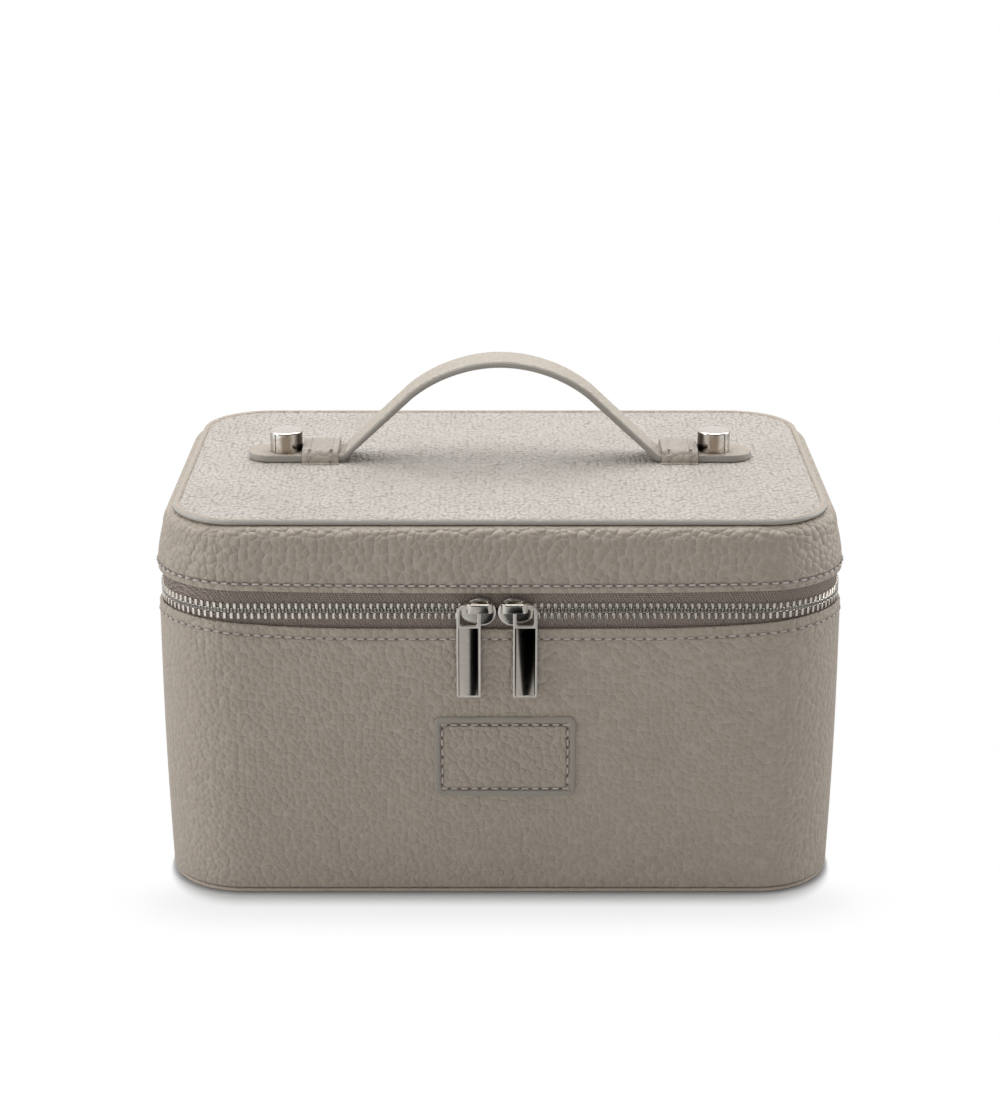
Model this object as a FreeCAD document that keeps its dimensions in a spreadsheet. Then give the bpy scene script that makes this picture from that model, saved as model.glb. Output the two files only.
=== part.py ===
import FreeCAD, Part
import math
import os

import Sketcher

# A soft-sided vanity case: a leather-covered tub, a lid that turns on a leather hinge at the back,
# a metal zip with two sliders round the other three sides, and a strap handle whose ends slide
# through keepers on the lid. Millimetres, +Z up, the front faces -Y, and the origin is the middle
# of the base.

doc = FreeCAD.newDocument("VanityCase")
sheet = doc.addObject("Spreadsheet::Sheet", "Sizes")
V = FreeCAD.Vector


class Size:
    """A length that knows its value now and the sheet expression that it follows."""

    def __init__(self, value, text):
        self.value = value
        self.text = text

    def joined(self, other, sign, value):
        return Size(value, f"({self.text} {sign} {as_size(other).text})")

    def __add__(self, other):
        return self.joined(other, "+", self.value + as_size(other).value)

    def __sub__(self, other):
        return self.joined(other, "-", self.value - as_size(other).value)

    def __mul__(self, other):
        return self.joined(other, "*", self.value * as_size(other).value)

    def __truediv__(self, other):
        return self.joined(other, "/", self.value / as_size(other).value)

    def __neg__(self):
        return self * -1


def as_size(number):
    return number if isinstance(number, Size) else Size(float(number), repr(float(number)))


driving = []


def size(alias, millimetres):
    """Puts one driving dimension on the sheet and returns it."""
    driving.append(alias)
    row = len(driving)
    sheet.set(f"A{row}", alias.replace("_", " "))
    sheet.set(f"B{row}", str(millimetres))
    sheet.setAlias(f"B{row}", alias)
    return Size(float(millimetres), f"Sizes.{alias}")


# The case as a whole
case_width = size("case_width", 278)
case_depth = size("case_depth", 181)
case_corner = size("case_corner", 36)
case_height = size("case_height", 115)
base_width = size("base_width", 274)
base_corner = size("base_corner", 32)
zip_gap = size("zip_gap", 14.9)
lid_height = size("lid_height", 25.7)
lid_shoulder = size("lid_shoulder", 7)

# Layers of the walls
leather = size("leather", 1.5)
board = size("board", 1.6)
lining = size("lining", 0.7)
glue_line = size("glue_line", 0.15)
board_setback = size("board_setback", 7)
lining_setback = size("lining_setback", 0.5)
base_cover = size("base_cover", 2.2)
base_setback = size("base_setback", 0.4)
base_rounding = size("base_rounding", 1.0)
floor_board = size("floor_board", 2.0)

# The lid's top, from its seam inwards
piping = size("piping", 2.6)
foam = size("foam", 2.1)
top_board = size("top_board", 1.7)
lining_rounding = size("lining_rounding", 4)

# The zip: woven tape, metal teeth and the two sliders
tape = size("tape", 0.7)
tape_hold = size("tape_hold", 6.5)
tape_setback = size("tape_setback", 0.25)
chain_width = size("chain_width", 5.9)
chain_rise = size("chain_rise", 7.4)
tooth_pitch = size("tooth_pitch", 2.7)
tooth_width = size("tooth_width", 1.15)
tooth_overlap = size("tooth_overlap", 0.9)
tooth_depth = size("tooth_depth", 2.4)
first_tooth = size("first_tooth", 2.0)
hinge_width = size("hinge_width", 190)
hinge_clearance = size("hinge_clearance", 0.15)
stop_width = size("stop_width", 2.2)
slider_meeting = size("slider_meeting", -1.2)
slider_spacing = size("slider_spacing", 0.6)
slider_length = size("slider_length", 14.2)
slider_mouth = size("slider_mouth", 11.5)
slider_waist = size("slider_waist", 8.8)
slider_nose = size("slider_nose", 7.1)
slider_tail = size("slider_tail", 6.2)
mouth_start = size("mouth_start", 2.8)
mouth_end = size("mouth_end", 5.7)
waist_start = size("waist_start", 10.2)
waist_end = size("waist_end", 12.8)
slider_plate = size("slider_plate", 1.2)
slider_clearance = size("slider_clearance", 0.25)
slider_wall = size("slider_wall", 0.8)
tape_slot = size("tape_slot", 1.2)
wedge_width = size("wedge_width", 2.6)
wedge_length = size("wedge_length", 5.4)
bridge_rise = size("bridge_rise", 4.6)
bridge_bar = size("bridge_bar", 1.4)
bridge_edge = size("bridge_edge", 0.45)
bridge_foot = size("bridge_foot", 2.0)
bridge_width = size("bridge_width", 3.0)
bridge_inset = size("bridge_inset", 1.2)
bridge_length = size("bridge_length", 10.7)

# The pulls, cast in one piece with their rings
pull_width = size("pull_width", 9.6)
pull_length = size("pull_length", 35.15)
pull_thickness = size("pull_thickness", 2.0)
ring_wall = size("ring_wall", 1.3)
ring_drop = size("ring_drop", 5.1)
ring_clearance = size("ring_clearance", 0.6)
ring_rounding = size("ring_rounding", 2.8)
pull_rim = size("pull_rim", 0.7)
pull_recess = size("pull_recess", 0.5)
pull_bar = size("pull_bar", 0.8)

# The patch on the front
patch_width = size("patch_width", 57)
patch_height = size("patch_height", 34.4)
patch_corner = size("patch_corner", 3)
patch_thickness = size("patch_thickness", 1.4)
patch_edge = size("patch_edge", 0.5)
patch_border = size("patch_border", 2.6)
patch_sink = size("patch_sink", 0.3)
patch_centre_height = size("patch_centre_height", 60.8)
patch_shift = size("patch_shift", 2)

# The handle on the lid
handle_setback = size("handle_setback", 8)
strap_width = size("strap_width", 19)
strap_thickness = size("strap_thickness", 2.8)
strap_clearance = size("strap_clearance", 0.3)
crown_radius = size("crown_radius", 53.4)
foot_radius = size("foot_radius", 6.6)
rise_angle = size("rise_angle", 42)
keeper_reach = size("keeper_reach", 68.5)
keeper_width = size("keeper_width", 15.5)
keeper_leather = size("keeper_leather", 1.5)
keeper_edge = size("keeper_edge", 1.2)
strap_end_reach = size("strap_end_reach", 107.3)
strap_joint = size("strap_joint", 0.6)
stud_diameter = size("stud_diameter", 13.8)
stud_height = size("stud_height", 9)
stud_chamfer = size("stud_chamfer", 0.8)
screw_diameter = size("screw_diameter", 4)
screw_head = size("screw_head", 9)
screw_head_height = size("screw_head_height", 1.0)
screw_depth = size("screw_depth", 5)
screw_clearance = size("screw_clearance", 0.1)
doc.recompute()

parts = {}


def bind(thing, prop, length, unit=""):
    """Ties a property or a named sketch constraint to the sheet."""
    thing.setExpression(prop, length.text + unit)


def keep(name, thing):
    """Names a finished piece, so that it is checked and written."""
    thing.Label = name
    parts[name] = thing
    return thing


def body(name):
    made = doc.addObject("PartDesign::Body", name)
    made.Label = name
    return made


def sketch(owner, name, plane, offset=None):
    """A sketch on one of its body's origin planes, moved along the plane's normal."""
    made = owner.newObject("Sketcher::SketchObject", name)
    role = [f for f in owner.Origin.OriginFeatures if f.Role == plane][0]
    made.AttachmentSupport = [(role, "")]
    made.MapMode = "FlatFace"
    if offset is not None:
        made.AttachmentOffset = FreeCAD.Placement(V(0, 0, offset.value), FreeCAD.Rotation())
        bind(made, "AttachmentOffset.Base.z", offset)
    return made


def constrain(made, kind, *where):
    return made.addConstraint(Sketcher.Constraint(kind, *where))


def drive(made, label, kind, length, *where, unit=""):
    """Adds a dimension to a sketch and ties it to the sheet."""
    number = constrain(made, kind, *where, math.radians(length.value) if unit else length.value)
    made.renameConstraint(number, label)
    bind(made, f"Constraints.{label}", length, unit)


ORIGIN = (-1, 1)
START, END, CENTRE = range(1, 4)


def rounded_rectangle(made, half_x, half_y, radius, tag="", shift=(0, 0)):
    """Four lines and four tangent arcs about the sketch's origin, or about a shifted centre."""
    dx, dy = (as_size(d) for d in shift)
    a, b, r = half_x.value, half_y.value, radius.value
    first = made.GeometryCount
    for quarter, (sx, sy) in enumerate([(1, 1), (-1, 1), (-1, -1), (1, -1)]):
        centre = V(dx.value + sx * (a - r), dy.value + sy * (b - r), 0)
        turn = quarter * math.pi / 2
        arc = Part.ArcOfCircle(Part.Circle(centre, V(0, 0, 1), r), turn, turn + math.pi / 2)
        made.addGeometry(arc)
    for quarter in range(4):
        here = made.Geometry[first + quarter].EndPoint
        there = made.Geometry[first + (quarter + 1) % 4].StartPoint
        made.addGeometry(Part.LineSegment(here, there))
    arcs = [first + n for n in range(4)]
    top, left, bottom, right = [first + 4 + n for n in range(4)]
    for quarter in range(4):
        constrain(made, "Tangent", arcs[quarter], END, top + quarter, START)
        constrain(made, "Tangent", top + quarter, END, arcs[(quarter + 1) % 4], START)
    for other in arcs[1:]:
        constrain(made, "Equal", arcs[0], other)
    for flat in (top, bottom):
        constrain(made, "Horizontal", flat)
    for upright in (left, right):
        constrain(made, "Vertical", upright)
    drive(made, "corner" + tag, "Radius", radius, arcs[0])
    drive(made, "right" + tag, "DistanceX", dx + half_x, *ORIGIN, right, START)
    drive(made, "left" + tag, "DistanceX", half_x - dx, left, START, *ORIGIN)
    drive(made, "top" + tag, "DistanceY", dy + half_y, *ORIGIN, top, START)
    drive(made, "bottom" + tag, "DistanceY", half_y - dy, bottom, START, *ORIGIN)


def outline(made, points, tag="p"):
    """A closed outline of straight runs whose corners are all tied to the sheet."""
    points = [(as_size(x), as_size(y)) for x, y in points]
    first = made.GeometryCount
    count = len(points)
    for n, (x, y) in enumerate(points):
        nx, ny = points[(n + 1) % count]
        made.addGeometry(Part.LineSegment(V(x.value, y.value, 0), V(nx.value, ny.value, 0)))
    for n in range(count):
        constrain(made, "Coincident", first + n, END, first + (n + 1) % count, START)
    for n, (x, y) in enumerate(points):
        for axis, length in (("X", x), ("Y", y)):
            if abs(length.value) < 1e-9:
                constrain(made, "PointOnObject", first + n, START, -2 if axis == "X" else -1)
            elif length.value > 0:
                drive(made, f"{tag}{n}{axis}", "Distance" + axis, length, *ORIGIN, first + n, START)
            else:
                drive(made, f"{tag}{n}{axis}", "Distance" + axis, -length, first + n, START, *ORIGIN)


def circle(made, diameter, x=0, y=0, tag="bore"):
    x, y = as_size(x), as_size(y)
    number = made.addGeometry(Part.Circle(V(x.value, y.value, 0), V(0, 0, 1), diameter.value / 2))
    drive(made, tag, "Diameter", diameter, number)
    for axis, length in (("X", x), ("Y", y)):
        if abs(length.value) < 1e-9:
            constrain(made, "PointOnObject", number, CENTRE, -2 if axis == "X" else -1)
        elif length.value > 0:
            drive(made, tag + axis, "Distance" + axis, length, *ORIGIN, number, CENTRE)
        else:
            drive(made, tag + axis, "Distance" + axis, -length, number, CENTRE, *ORIGIN)


def pad(owner, profile, length, both_ways=False, name="Pad"):
    made = owner.newObject("PartDesign::Pad", name)
    made.Profile = profile
    made.SideType = "Symmetric" if both_ways else "One side"
    bind(made, "Length", length)
    return made


def pocket(owner, profile, length=None, both_ways=False, reverse=False, name="Pocket"):
    made = owner.newObject("PartDesign::Pocket", name)
    made.Profile = profile
    made.SideType = "Symmetric" if both_ways else "One side"
    made.Reversed = reverse
    if length is None:
        made.Type = "ThroughAll"
    else:
        bind(made, "Length", length)
    return made


def edges_where(feature, test):
    """The names of a feature's edges whose ends all pass a test."""
    doc.recompute()
    found = []
    for number, edge in enumerate(feature.Shape.Edges, 1):
        if test([vertex.Point for vertex in edge.Vertexes]):
            found.append(f"Edge{number}")
    return found


def fillet(owner, feature, radius, test, name="Fillet"):
    edges = edges_where(feature, test)
    made = owner.newObject("PartDesign::Fillet", name)
    made.Base = (feature, edges)
    bind(made, "Radius", radius)
    return made


NEAR = 1e-4


def at_height(height):
    return lambda ends: all(abs(p.z - height.value) < NEAR for p in ends)


def at_depth(*depths):
    """Edges that lie wholly in one of some planes across the depth."""
    return lambda ends: any(all(abs(p.y - d.value) < NEAR for p in ends) for d in depths)


def through_depth(x, z):
    """Straight edges along the depth at a place seen from the front."""
    return lambda ends: (
        abs(ends[0].y - ends[-1].y) > NEAR
        and all(abs(abs(p.x) - x.value) < NEAR and abs(p.z - z.value) < NEAR for p in ends)
    )


def cut(name, base, tool):
    made = doc.addObject("Part::Cut", name)
    made.Base = base
    made.Tool = tool
    return made


def place(thing, x=0, y=0, z=0, rotation=None):
    """Puts a finished body at its place, with each coordinate tied to the sheet."""
    x, y, z = as_size(x), as_size(y), as_size(z)
    thing.Placement = FreeCAD.Placement(V(x.value, y.value, z.value), rotation or FreeCAD.Rotation())
    for axis, length in (("x", x), ("y", y), ("z", z)):
        bind(thing, f"Placement.Base.{axis}", length)


# Heights and depths that several pieces share
half_depth = case_depth / 2
lid_rim = case_height + zip_gap
chain_height = case_height + chain_rise
seam_height = lid_rim + lid_height
foam_foot = seam_height - leather - glue_line
top_leather_foot = foam_foot + foam + glue_line
lid_top = top_leather_foot + leather
board_inset = leather + glue_line
lining_inset = board_inset + board + glue_line
tape_inset = leather + tape_setback
chain_inset = tape_inset + tape / 2
turned_edge_inset = tape_inset + tape + glue_line
piping_inset = lid_shoulder + piping
panel_inset = piping_inset + glue_line


# The tub tapers up to here, where the board stops, and stands upright above it as a soft rim.
rim_foot = case_height - board_setback


def tub_section(height, inset):
    """Half width, half depth and corner radius of the tub at a height up to the rim's foot."""
    share = height / rim_foot
    half_width = base_width / 2 + (case_width - base_width) / 2 * share
    corner = base_corner + (case_corner - base_corner) * share
    return half_width - inset, half_depth - inset, corner - inset


def tub_form(name, low, inset, rim_top=None):
    """A block with the tub's taper up to the rim's foot, and the upright rim if it has a top."""
    made = body(name)
    ends = []
    for end, height in (("Low", low), ("High", rim_foot)):
        section = sketch(made, name + end, "XY_Plane", height)
        rounded_rectangle(section, *tub_section(height, inset))
        ends.append(section)
    loft = made.newObject("PartDesign::AdditiveLoft", name + "Loft")
    loft.Profile = ends[0]
    loft.Sections = [ends[1]]
    loft.Ruled = True
    if rim_top is not None:
        rim = sketch(made, name + "Rim", "XY_Plane", rim_foot)
        rounded_rectangle(rim, *rim_section(inset))
        pad(made, rim, rim_top - rim_foot, name=name + "RimBlock")
    return made


def rim_section(inset):
    """Half width, half depth and corner radius of the upright lid and zip outline."""
    return case_width / 2 - inset, half_depth - inset, case_corner - inset


def lid_form(name, low, high, inset, rounding=None):
    """A block with the lid's outline, and its top edge rolled over if a rounding is given."""
    made = body(name)
    profile = sketch(made, name + "Outline", "XY_Plane", low)
    rounded_rectangle(profile, *rim_section(inset))
    block = pad(made, profile, high - low, name=name + "Block")
    if rounding is not None:
        fillet(made, block, rounding, at_height(high), name=name + "Roll")
    return made


# The outer leather of the tub, an open sleeve sewn to the base along its foot.
case_wall_leather = cut(
    "CaseWallLeather",
    tub_form("WallOutside", base_cover, as_size(0), case_height),
    tub_form("WallInside", base_cover, leather, case_height),
)
keep("case_wall_leather", case_wall_leather)

# The stiff board behind it, which stops below the sewn rim.
wall_foot = base_cover + glue_line + floor_board + glue_line
keep(
    "case_wall_board",
    cut(
        "CaseWallBoard",
        tub_form("BoardOutside", wall_foot, board_inset),
        tub_form("BoardInside", wall_foot, board_inset + board),
    ),
)

# The lining, a thin tray glued inside the board and up to the rim.
lining_top = case_height - lining_setback
keep(
    "case_lining",
    cut(
        "CaseLining",
        tub_form("LiningOutside", wall_foot, lining_inset, lining_top),
        tub_form("LiningInside", wall_foot + lining, lining_inset + lining, lining_top),
    ),
)

# The base, a leather-covered plate with a rounded lower edge, and the floor board on it.
base_panel = body("BasePanel")
base_sketch = sketch(base_panel, "BaseOutline", "XY_Plane")
rounded_rectangle(base_sketch, *tub_section(as_size(0), base_setback))
base_block = pad(base_panel, base_sketch, base_cover)
fillet(base_panel, base_block, base_rounding, at_height(as_size(0)))
keep("base_panel", base_panel)

floor = body("FloorBoard")
floor_sketch = sketch(floor, "FloorOutline", "XY_Plane", base_cover + glue_line)
rounded_rectangle(floor_sketch, *tub_section(base_cover, board_inset))
pad(floor, floor_sketch, floor_board)
keep("base_board", floor)

# The lid's leather band: an upright wall that rolls over at the shoulder to the piped seam.
band_shell = cut(
    "BandShell",
    lid_form("BandOutside", lid_rim, seam_height, as_size(0), lid_shoulder),
    lid_form("BandInside", lid_rim, seam_height - leather, leather, lid_shoulder - leather),
)
keep(
    "lid_band_leather",
    cut(
        "LidBandLeather",
        band_shell,
        lid_form("BandWindow", seam_height - leather * 2, seam_height + leather, piping_inset),
    ),
)


def ring(name, low, high, outside, inside):
    """An upright ring that follows the zip outline between two insets."""
    made = body(name)
    profile = sketch(made, name + "Outline", "XY_Plane", low)
    rounded_rectangle(profile, *rim_section(outside), tag="Outside")
    rounded_rectangle(profile, *rim_section(inside), tag="Inside")
    pad(made, profile, high - low, name=name + "Ring")
    return made


# The lid's stiffeners: a side strip under the shoulder and a flat board under the foam.
side_board_foot = lid_rim + board_setback
side_board_top = seam_height - lid_shoulder
keep(
    "lid_side_board",
    ring("LidSideBoard", side_board_foot, side_board_top, board_inset, board_inset + board),
)

top_board_foot = foam_foot - glue_line - top_board
top_board_inset = lid_shoulder - leather
keep(
    "lid_top_board",
    lid_form("LidTopBoard", top_board_foot, top_board_foot + top_board, top_board_inset),
)

# Foam under the top leather, the top leather itself, and the piping in the seam round it.
keep("lid_top_foam", lid_form("LidTopFoam", foam_foot, foam_foot + foam, panel_inset))
keep(
    "lid_top_leather",
    lid_form("LidTopLeather", top_leather_foot, lid_top, panel_inset, leather / 2),
)

welt = body("LidPiping")
welt_path = sketch(welt, "WeltPath", "XY_Plane", seam_height + piping / 2)
rounded_rectangle(welt_path, *rim_section(lid_shoulder + piping / 2))
welt_section = sketch(welt, "WeltSection", "YZ_Plane")
circle(welt_section, piping, -(half_depth - lid_shoulder - piping / 2), seam_height + piping / 2)
welt_pipe = welt.newObject("PartDesign::AdditivePipe", "WeltPipe")
welt_pipe.Profile = welt_section
welt_pipe.Spine = welt_path
keep("lid_piping", welt)

# The lid's lining, a shallow tray that faces down.
lid_lining_top = top_board_foot - glue_line
keep(
    "lid_lining",
    cut(
        "LidLining",
        lid_form("LidLiningOutside", lid_rim + lining_setback, lid_lining_top, lining_inset,
                 lining_rounding),
        lid_form("LidLiningInside", lid_rim + lining_setback, lid_lining_top - lining,
                 lining_inset + lining, lining_rounding - lining),
    ),
)

# The leather turned in behind the tape along both rims.
keep(
    "case_turned_edge",
    ring("CaseTurnedEdge", rim_foot + glue_line, lining_top,
         turned_edge_inset, board_inset + board),
)
keep(
    "lid_turned_edge",
    ring("LidTurnedEdge", lid_rim + lining_setback, side_board_foot - glue_line,
         turned_edge_inset, board_inset + board),
)


def tape_strip(name, low, high):
    """Zip tape along the front and both sides, open across the hinge at the back."""
    made = ring(name, low, high, tape_inset, tape_inset + tape)
    window = sketch(made, name + "Window", "XY_Plane", low)
    half = hinge_width / 2
    outline(window, [(-half, half_depth / 2), (half, half_depth / 2),
                     (half, case_depth), (-half, case_depth)])
    pocket(made, window, high - low, reverse=True)
    return made


keep("lower_zip_tape", tape_strip("LowerTape", case_height - tape_hold,
                                  chain_height - chain_width / 2))
keep("upper_zip_tape", tape_strip("UpperTape", chain_height + chain_width / 2,
                                  lid_rim + tape_hold))


def chain_place(distance):
    """The zip centre line's point and heading at a distance leftwards from the back's middle."""
    half_x, half_y, corner = (length.value for length in rim_section(chain_inset))
    x, y = half_x - corner, half_y - corner
    runs = [(x, V(-x, y, 0)), (y * 2, V(-x, -y, 0)), (x * 2, V(x, -y, 0)), (y * 2, V(x, y, 0))]
    here, heading = V(0, half_y, 0), 180
    for length, centre in runs:
        if distance <= length:
            break
        distance -= length
        swept = min(math.degrees(distance / corner), 90)
        ray = math.radians(heading - 90 + swept)
        here = centre + V(math.cos(ray), math.sin(ray), 0) * corner
        heading += swept
        if swept < 90:
            return here, heading
        distance -= corner * math.pi / 2
    way = math.radians(heading)
    return here + V(math.cos(way), math.sin(way), 0) * distance, heading


def chain_ends():
    """The distances at which the hinge's two ends interrupt the zip."""
    half_x, half_y, corner = (length.value for length in rim_section(chain_inset))
    x, y = half_x - corner, half_y - corner
    half = hinge_width.value / 2
    start = half if half <= x else x + corner * math.asin((half - x) / corner)
    return start, 4 * (x + y) + corner * math.pi * 2 - start


def on_chain(thing, distance):
    """Turns and moves a shape that stands about the origin to its place on the zip."""
    point, heading = chain_place(distance)
    up = V(0, 0, chain_height.value)
    thing.Placement = FreeCAD.Placement(point + up, FreeCAD.Rotation(V(0, 0, 1), heading))
    return thing


def teeth(name, side):
    """One row of teeth, seated on the edge of its tape and reaching past the middle."""
    pitch = tooth_pitch.value
    reach = chain_width.value / 2 + tooth_overlap.value / 2
    wide, deep = tooth_width.value, tooth_depth.value
    foot = chain_width.value / -2 if side < 0 else tooth_overlap.value / -2
    mouth = slider_spacing.value / 2 + wedge_length.value + slider_wall.value + wide / 2
    first, last = chain_ends()
    margin = stop_width.value + first_tooth.value
    distance = first + margin + (0 if side < 0 else pitch / 2)
    made = []
    while distance <= last - margin:
        point = chain_place(distance)[0]
        in_mouths = point.y < 0 and abs(point.x - slider_meeting.value) < mouth
        if not in_mouths:
            tooth = Part.makeBox(wide, deep, reach, V(-wide / 2, -deep / 2, foot))
            made.append(on_chain(tooth, distance))
        distance += pitch
    row = doc.addObject("Part::Feature", name)
    row.Shape = Part.makeCompound(made)
    return row


# The two rows of metal teeth, half a pitch apart so that each closes between its neighbours.
keep("lower_zip_teeth", teeth("LowerTeeth", -1))
keep("upper_zip_teeth", teeth("UpperTeeth", 1))

# A small metal stop at each end of the chain, across the edges of both tapes.
first_end, last_end = chain_ends()
stop_shapes = []
for middle in (first_end + stop_width.value / 2, last_end - stop_width.value / 2):
    wide, deep, tall = stop_width.value, tooth_depth.value, chain_width.value
    stop = Part.makeBox(wide, deep, tall, V(-wide / 2, -deep / 2, -tall / 2))
    stop_shapes.append(on_chain(stop, middle))
stops = doc.addObject("Part::Feature", "ZipEndStops")
stops.Shape = Part.makeCompound(stop_shapes)
keep("zip_end_stops", stops)


def hinge_strip(name, low, high, outside, thickness):
    """A straight strip of the back wall between the zip's two ends."""
    made = body(name)
    profile = sketch(made, name + "Section", "XY_Plane", low)
    half = hinge_width / 2 - hinge_clearance
    near, far = half_depth - outside - thickness, half_depth - outside
    outline(profile, [(-half, near), (half, near), (half, far), (-half, far)])
    pad(made, profile, high - low)
    return made


# The hinge: leather outside, lining inside, flexing together between the two rims.
keep("hinge_leather", hinge_strip("HingeLeather", case_height + hinge_clearance,
                                  lid_rim - hinge_clearance, as_size(0), leather))
keep("hinge_lining", hinge_strip("HingeLining", lining_top + hinge_clearance,
                                 lid_rim + lining_setback - hinge_clearance, lining_inset, lining))

# The leather patch sewn to the front: a raised border round a bare face.
patch = body("FrontPatch")
patch_sketch = sketch(patch, "PatchOutline", "XZ_Plane", half_depth)
rounded_rectangle(patch_sketch, patch_width / 2, patch_height / 2, patch_corner,
                  shift=(patch_shift, patch_centre_height))
patch_block = pad(patch, patch_sketch, patch_thickness)
patch_face = half_depth + patch_thickness
fillet(patch, patch_block, patch_edge, at_depth(-patch_face))
patch_field = sketch(patch, "PatchField", "XZ_Plane", patch_face)
rounded_rectangle(patch_field, patch_width / 2 - patch_border, patch_height / 2 - patch_border,
                  patch_corner / 2, shift=(patch_shift, patch_centre_height))
pocket(patch, patch_field, patch_sink, reverse=False, name="SunkFace")
keep("front_patch", patch)


def slider(name):
    """One zip slider about the chain's middle, mouth at x = 0: two plates, wedge and bridge."""
    made = body(name)
    half_depth_in = tooth_depth / 2 + slider_clearance
    half_depth_out = half_depth_in + slider_plate
    mouth, waist = slider_mouth / 2, slider_waist / 2
    nose, tail = slider_nose / 2, slider_tail / 2
    upper_edge = [
        (0, nose), (mouth_start, mouth), (mouth_end, mouth),
        (waist_start, waist), (waist_end, waist), (slider_length, tail),
    ]
    lower_edge = [(x, -y) for x, y in reversed(upper_edge)]
    plan = sketch(made, name + "Plan", "XZ_Plane")
    outline(plan, upper_edge + lower_edge)
    block = pad(made, plan, half_depth_out * 2, both_ways=True)
    block = fillet(made, block, slider_plate / 2, at_depth(half_depth_out, -half_depth_out),
                   name="Softened")

    # the Y-shaped channel round the wedge, closed by the flanges above and below
    inner_mouth, inner_waist = mouth - slider_wall, waist - slider_wall
    channel = sketch(made, name + "Channel", "XZ_Plane")
    upper_wall = [
        (-slider_wall, inner_mouth), (mouth_end, inner_mouth),
        (waist_start, inner_waist), (slider_length + slider_wall, inner_waist),
    ]
    lower_wall = [(x, -y) for x, y in reversed(upper_wall)]
    outline(channel, upper_wall + lower_wall, tag="c")
    outline(
        channel,
        [(slider_wall, -wedge_width / 2), (wedge_length, 0), (slider_wall, wedge_width / 2)],
        tag="w",
    )
    pocket(made, channel, half_depth_in * 2, both_ways=True, name="ChannelPocket")
    slots = sketch(made, name + "Slots", "YZ_Plane")
    for side, tag in ((-1, "d"), (1, "u")):
        low = inner_waist - slider_wall / 2
        outline(
            slots,
            [(-tape_slot / 2, low * side), (tape_slot / 2, low * side),
             (tape_slot / 2, slider_mouth * side), (-tape_slot / 2, slider_mouth * side)],
            tag=tag,
        )
    pocket(made, slots, slider_length * 3, both_ways=True, name="TapeSlots")

    # the bridge that the pull hangs from, standing on the front plate
    front = -half_depth_out
    crest = front - bridge_rise
    under = crest + bridge_bar
    end = bridge_inset + bridge_length
    sunk = front + slider_plate / 2
    side_view = sketch(made, name + "BridgeSide", "XY_Plane")
    outline(
        side_view,
        [(bridge_inset, sunk), (bridge_inset + bridge_bar / 2, crest), (end - bridge_bar / 2, crest),
         (end, sunk), (end - bridge_foot, sunk), (end - bridge_foot, under),
         (bridge_inset + bridge_foot, under), (bridge_inset + bridge_foot, sunk)],
    )
    arch = pad(made, side_view, bridge_width, both_ways=True, name="Bridge")
    fillet(made, arch, bridge_edge, at_depth(crest), name="BridgeEdges")
    return made


slider_start = slider_meeting + slider_spacing / 2
left_slider = keep("left_slider", slider("LeftSlider"))
right_slider = keep("right_slider", slider("RightSlider"))
half_turn = FreeCAD.Rotation(V(0, 1, 0), 180)
chain_front = -(half_depth - chain_inset)
place(left_slider, slider_meeting - slider_spacing / 2, chain_front, chain_height, half_turn)
place(right_slider, slider_start, chain_front, chain_height)


def pull(name):
    """A zip pull about its ring's hanging point: a ring, then a tab with a bare sunk face."""
    made = body(name)
    half = pull_width / 2
    hole_top = bridge_width / 2 + ring_clearance
    ring_top = hole_top + ring_wall
    plan = sketch(made, name + "Plan", "XZ_Plane")
    outline(plan, [(-half, -pull_length), (half, -pull_length), (half, ring_top), (-half, ring_top)])
    block = pad(made, plan, pull_thickness, both_ways=True)
    block = fillet(made, block, ring_rounding, through_depth(half, ring_top), name="RingCorners")
    block = fillet(made, block, pull_rim, through_depth(half, -pull_length), name="TabCorners")
    hole = sketch(made, name + "Hole", "XZ_Plane")
    hole_half = half - ring_wall
    rounded_rectangle(hole, hole_half, (hole_top + ring_drop) / 2, pull_rim,
                      shift=(as_size(0), (hole_top - ring_drop) / 2))
    pocket(made, hole, pull_thickness * 2, both_ways=True, name="RingHole")
    face = -pull_thickness / 2
    field = sketch(made, name + "Field", "XZ_Plane", pull_thickness / 2)
    field_top = ring_drop + pull_bar
    field_bottom = pull_length - pull_rim
    rounded_rectangle(field, half - pull_rim, (field_bottom - field_top) / 2, pull_rim / 2,
                      shift=(as_size(0), -(field_bottom + field_top) / 2))
    pocket(made, field, pull_recess, reverse=False, name="SunkFace")
    return made


pivot_reach = bridge_inset + bridge_length - bridge_foot / 2
ring_middle = tooth_depth / 2 + slider_clearance + slider_plate + (bridge_rise - bridge_bar) / 2
left_pull = keep("left_pull", pull("LeftPull"))
right_pull = keep("right_pull", pull("RightPull"))
place(left_pull, slider_meeting - slider_spacing / 2 - pivot_reach, chain_front - ring_middle,
      chain_height)
place(right_pull, slider_start + pivot_reach, chain_front - ring_middle, chain_height)

# The handle: one strap, whose middle arches up between the keepers.
strap_foot = lid_top + strap_clearance
strap_middle = strap_foot + strap_thickness / 2
strap_half = keeper_reach + strap_joint

arch = body("HandleStrap")
path = sketch(arch, "StrapPath", "XZ_Plane")
slope = math.radians(rise_angle.value)
foot, crown = foot_radius.value, crown_radius.value
bend_x = keeper_reach.value
knee_x = bend_x - foot * math.sin(slope)
knee_z = strap_middle.value + foot * (1 - math.cos(slope))
shoulder_x = crown * math.sin(slope)
shoulder_z = knee_z + (knee_x - shoulder_x) * math.tan(slope)
crown_z = shoulder_z - crown * math.cos(slope)
level = strap_middle.value
up = math.pi / 2


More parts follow.
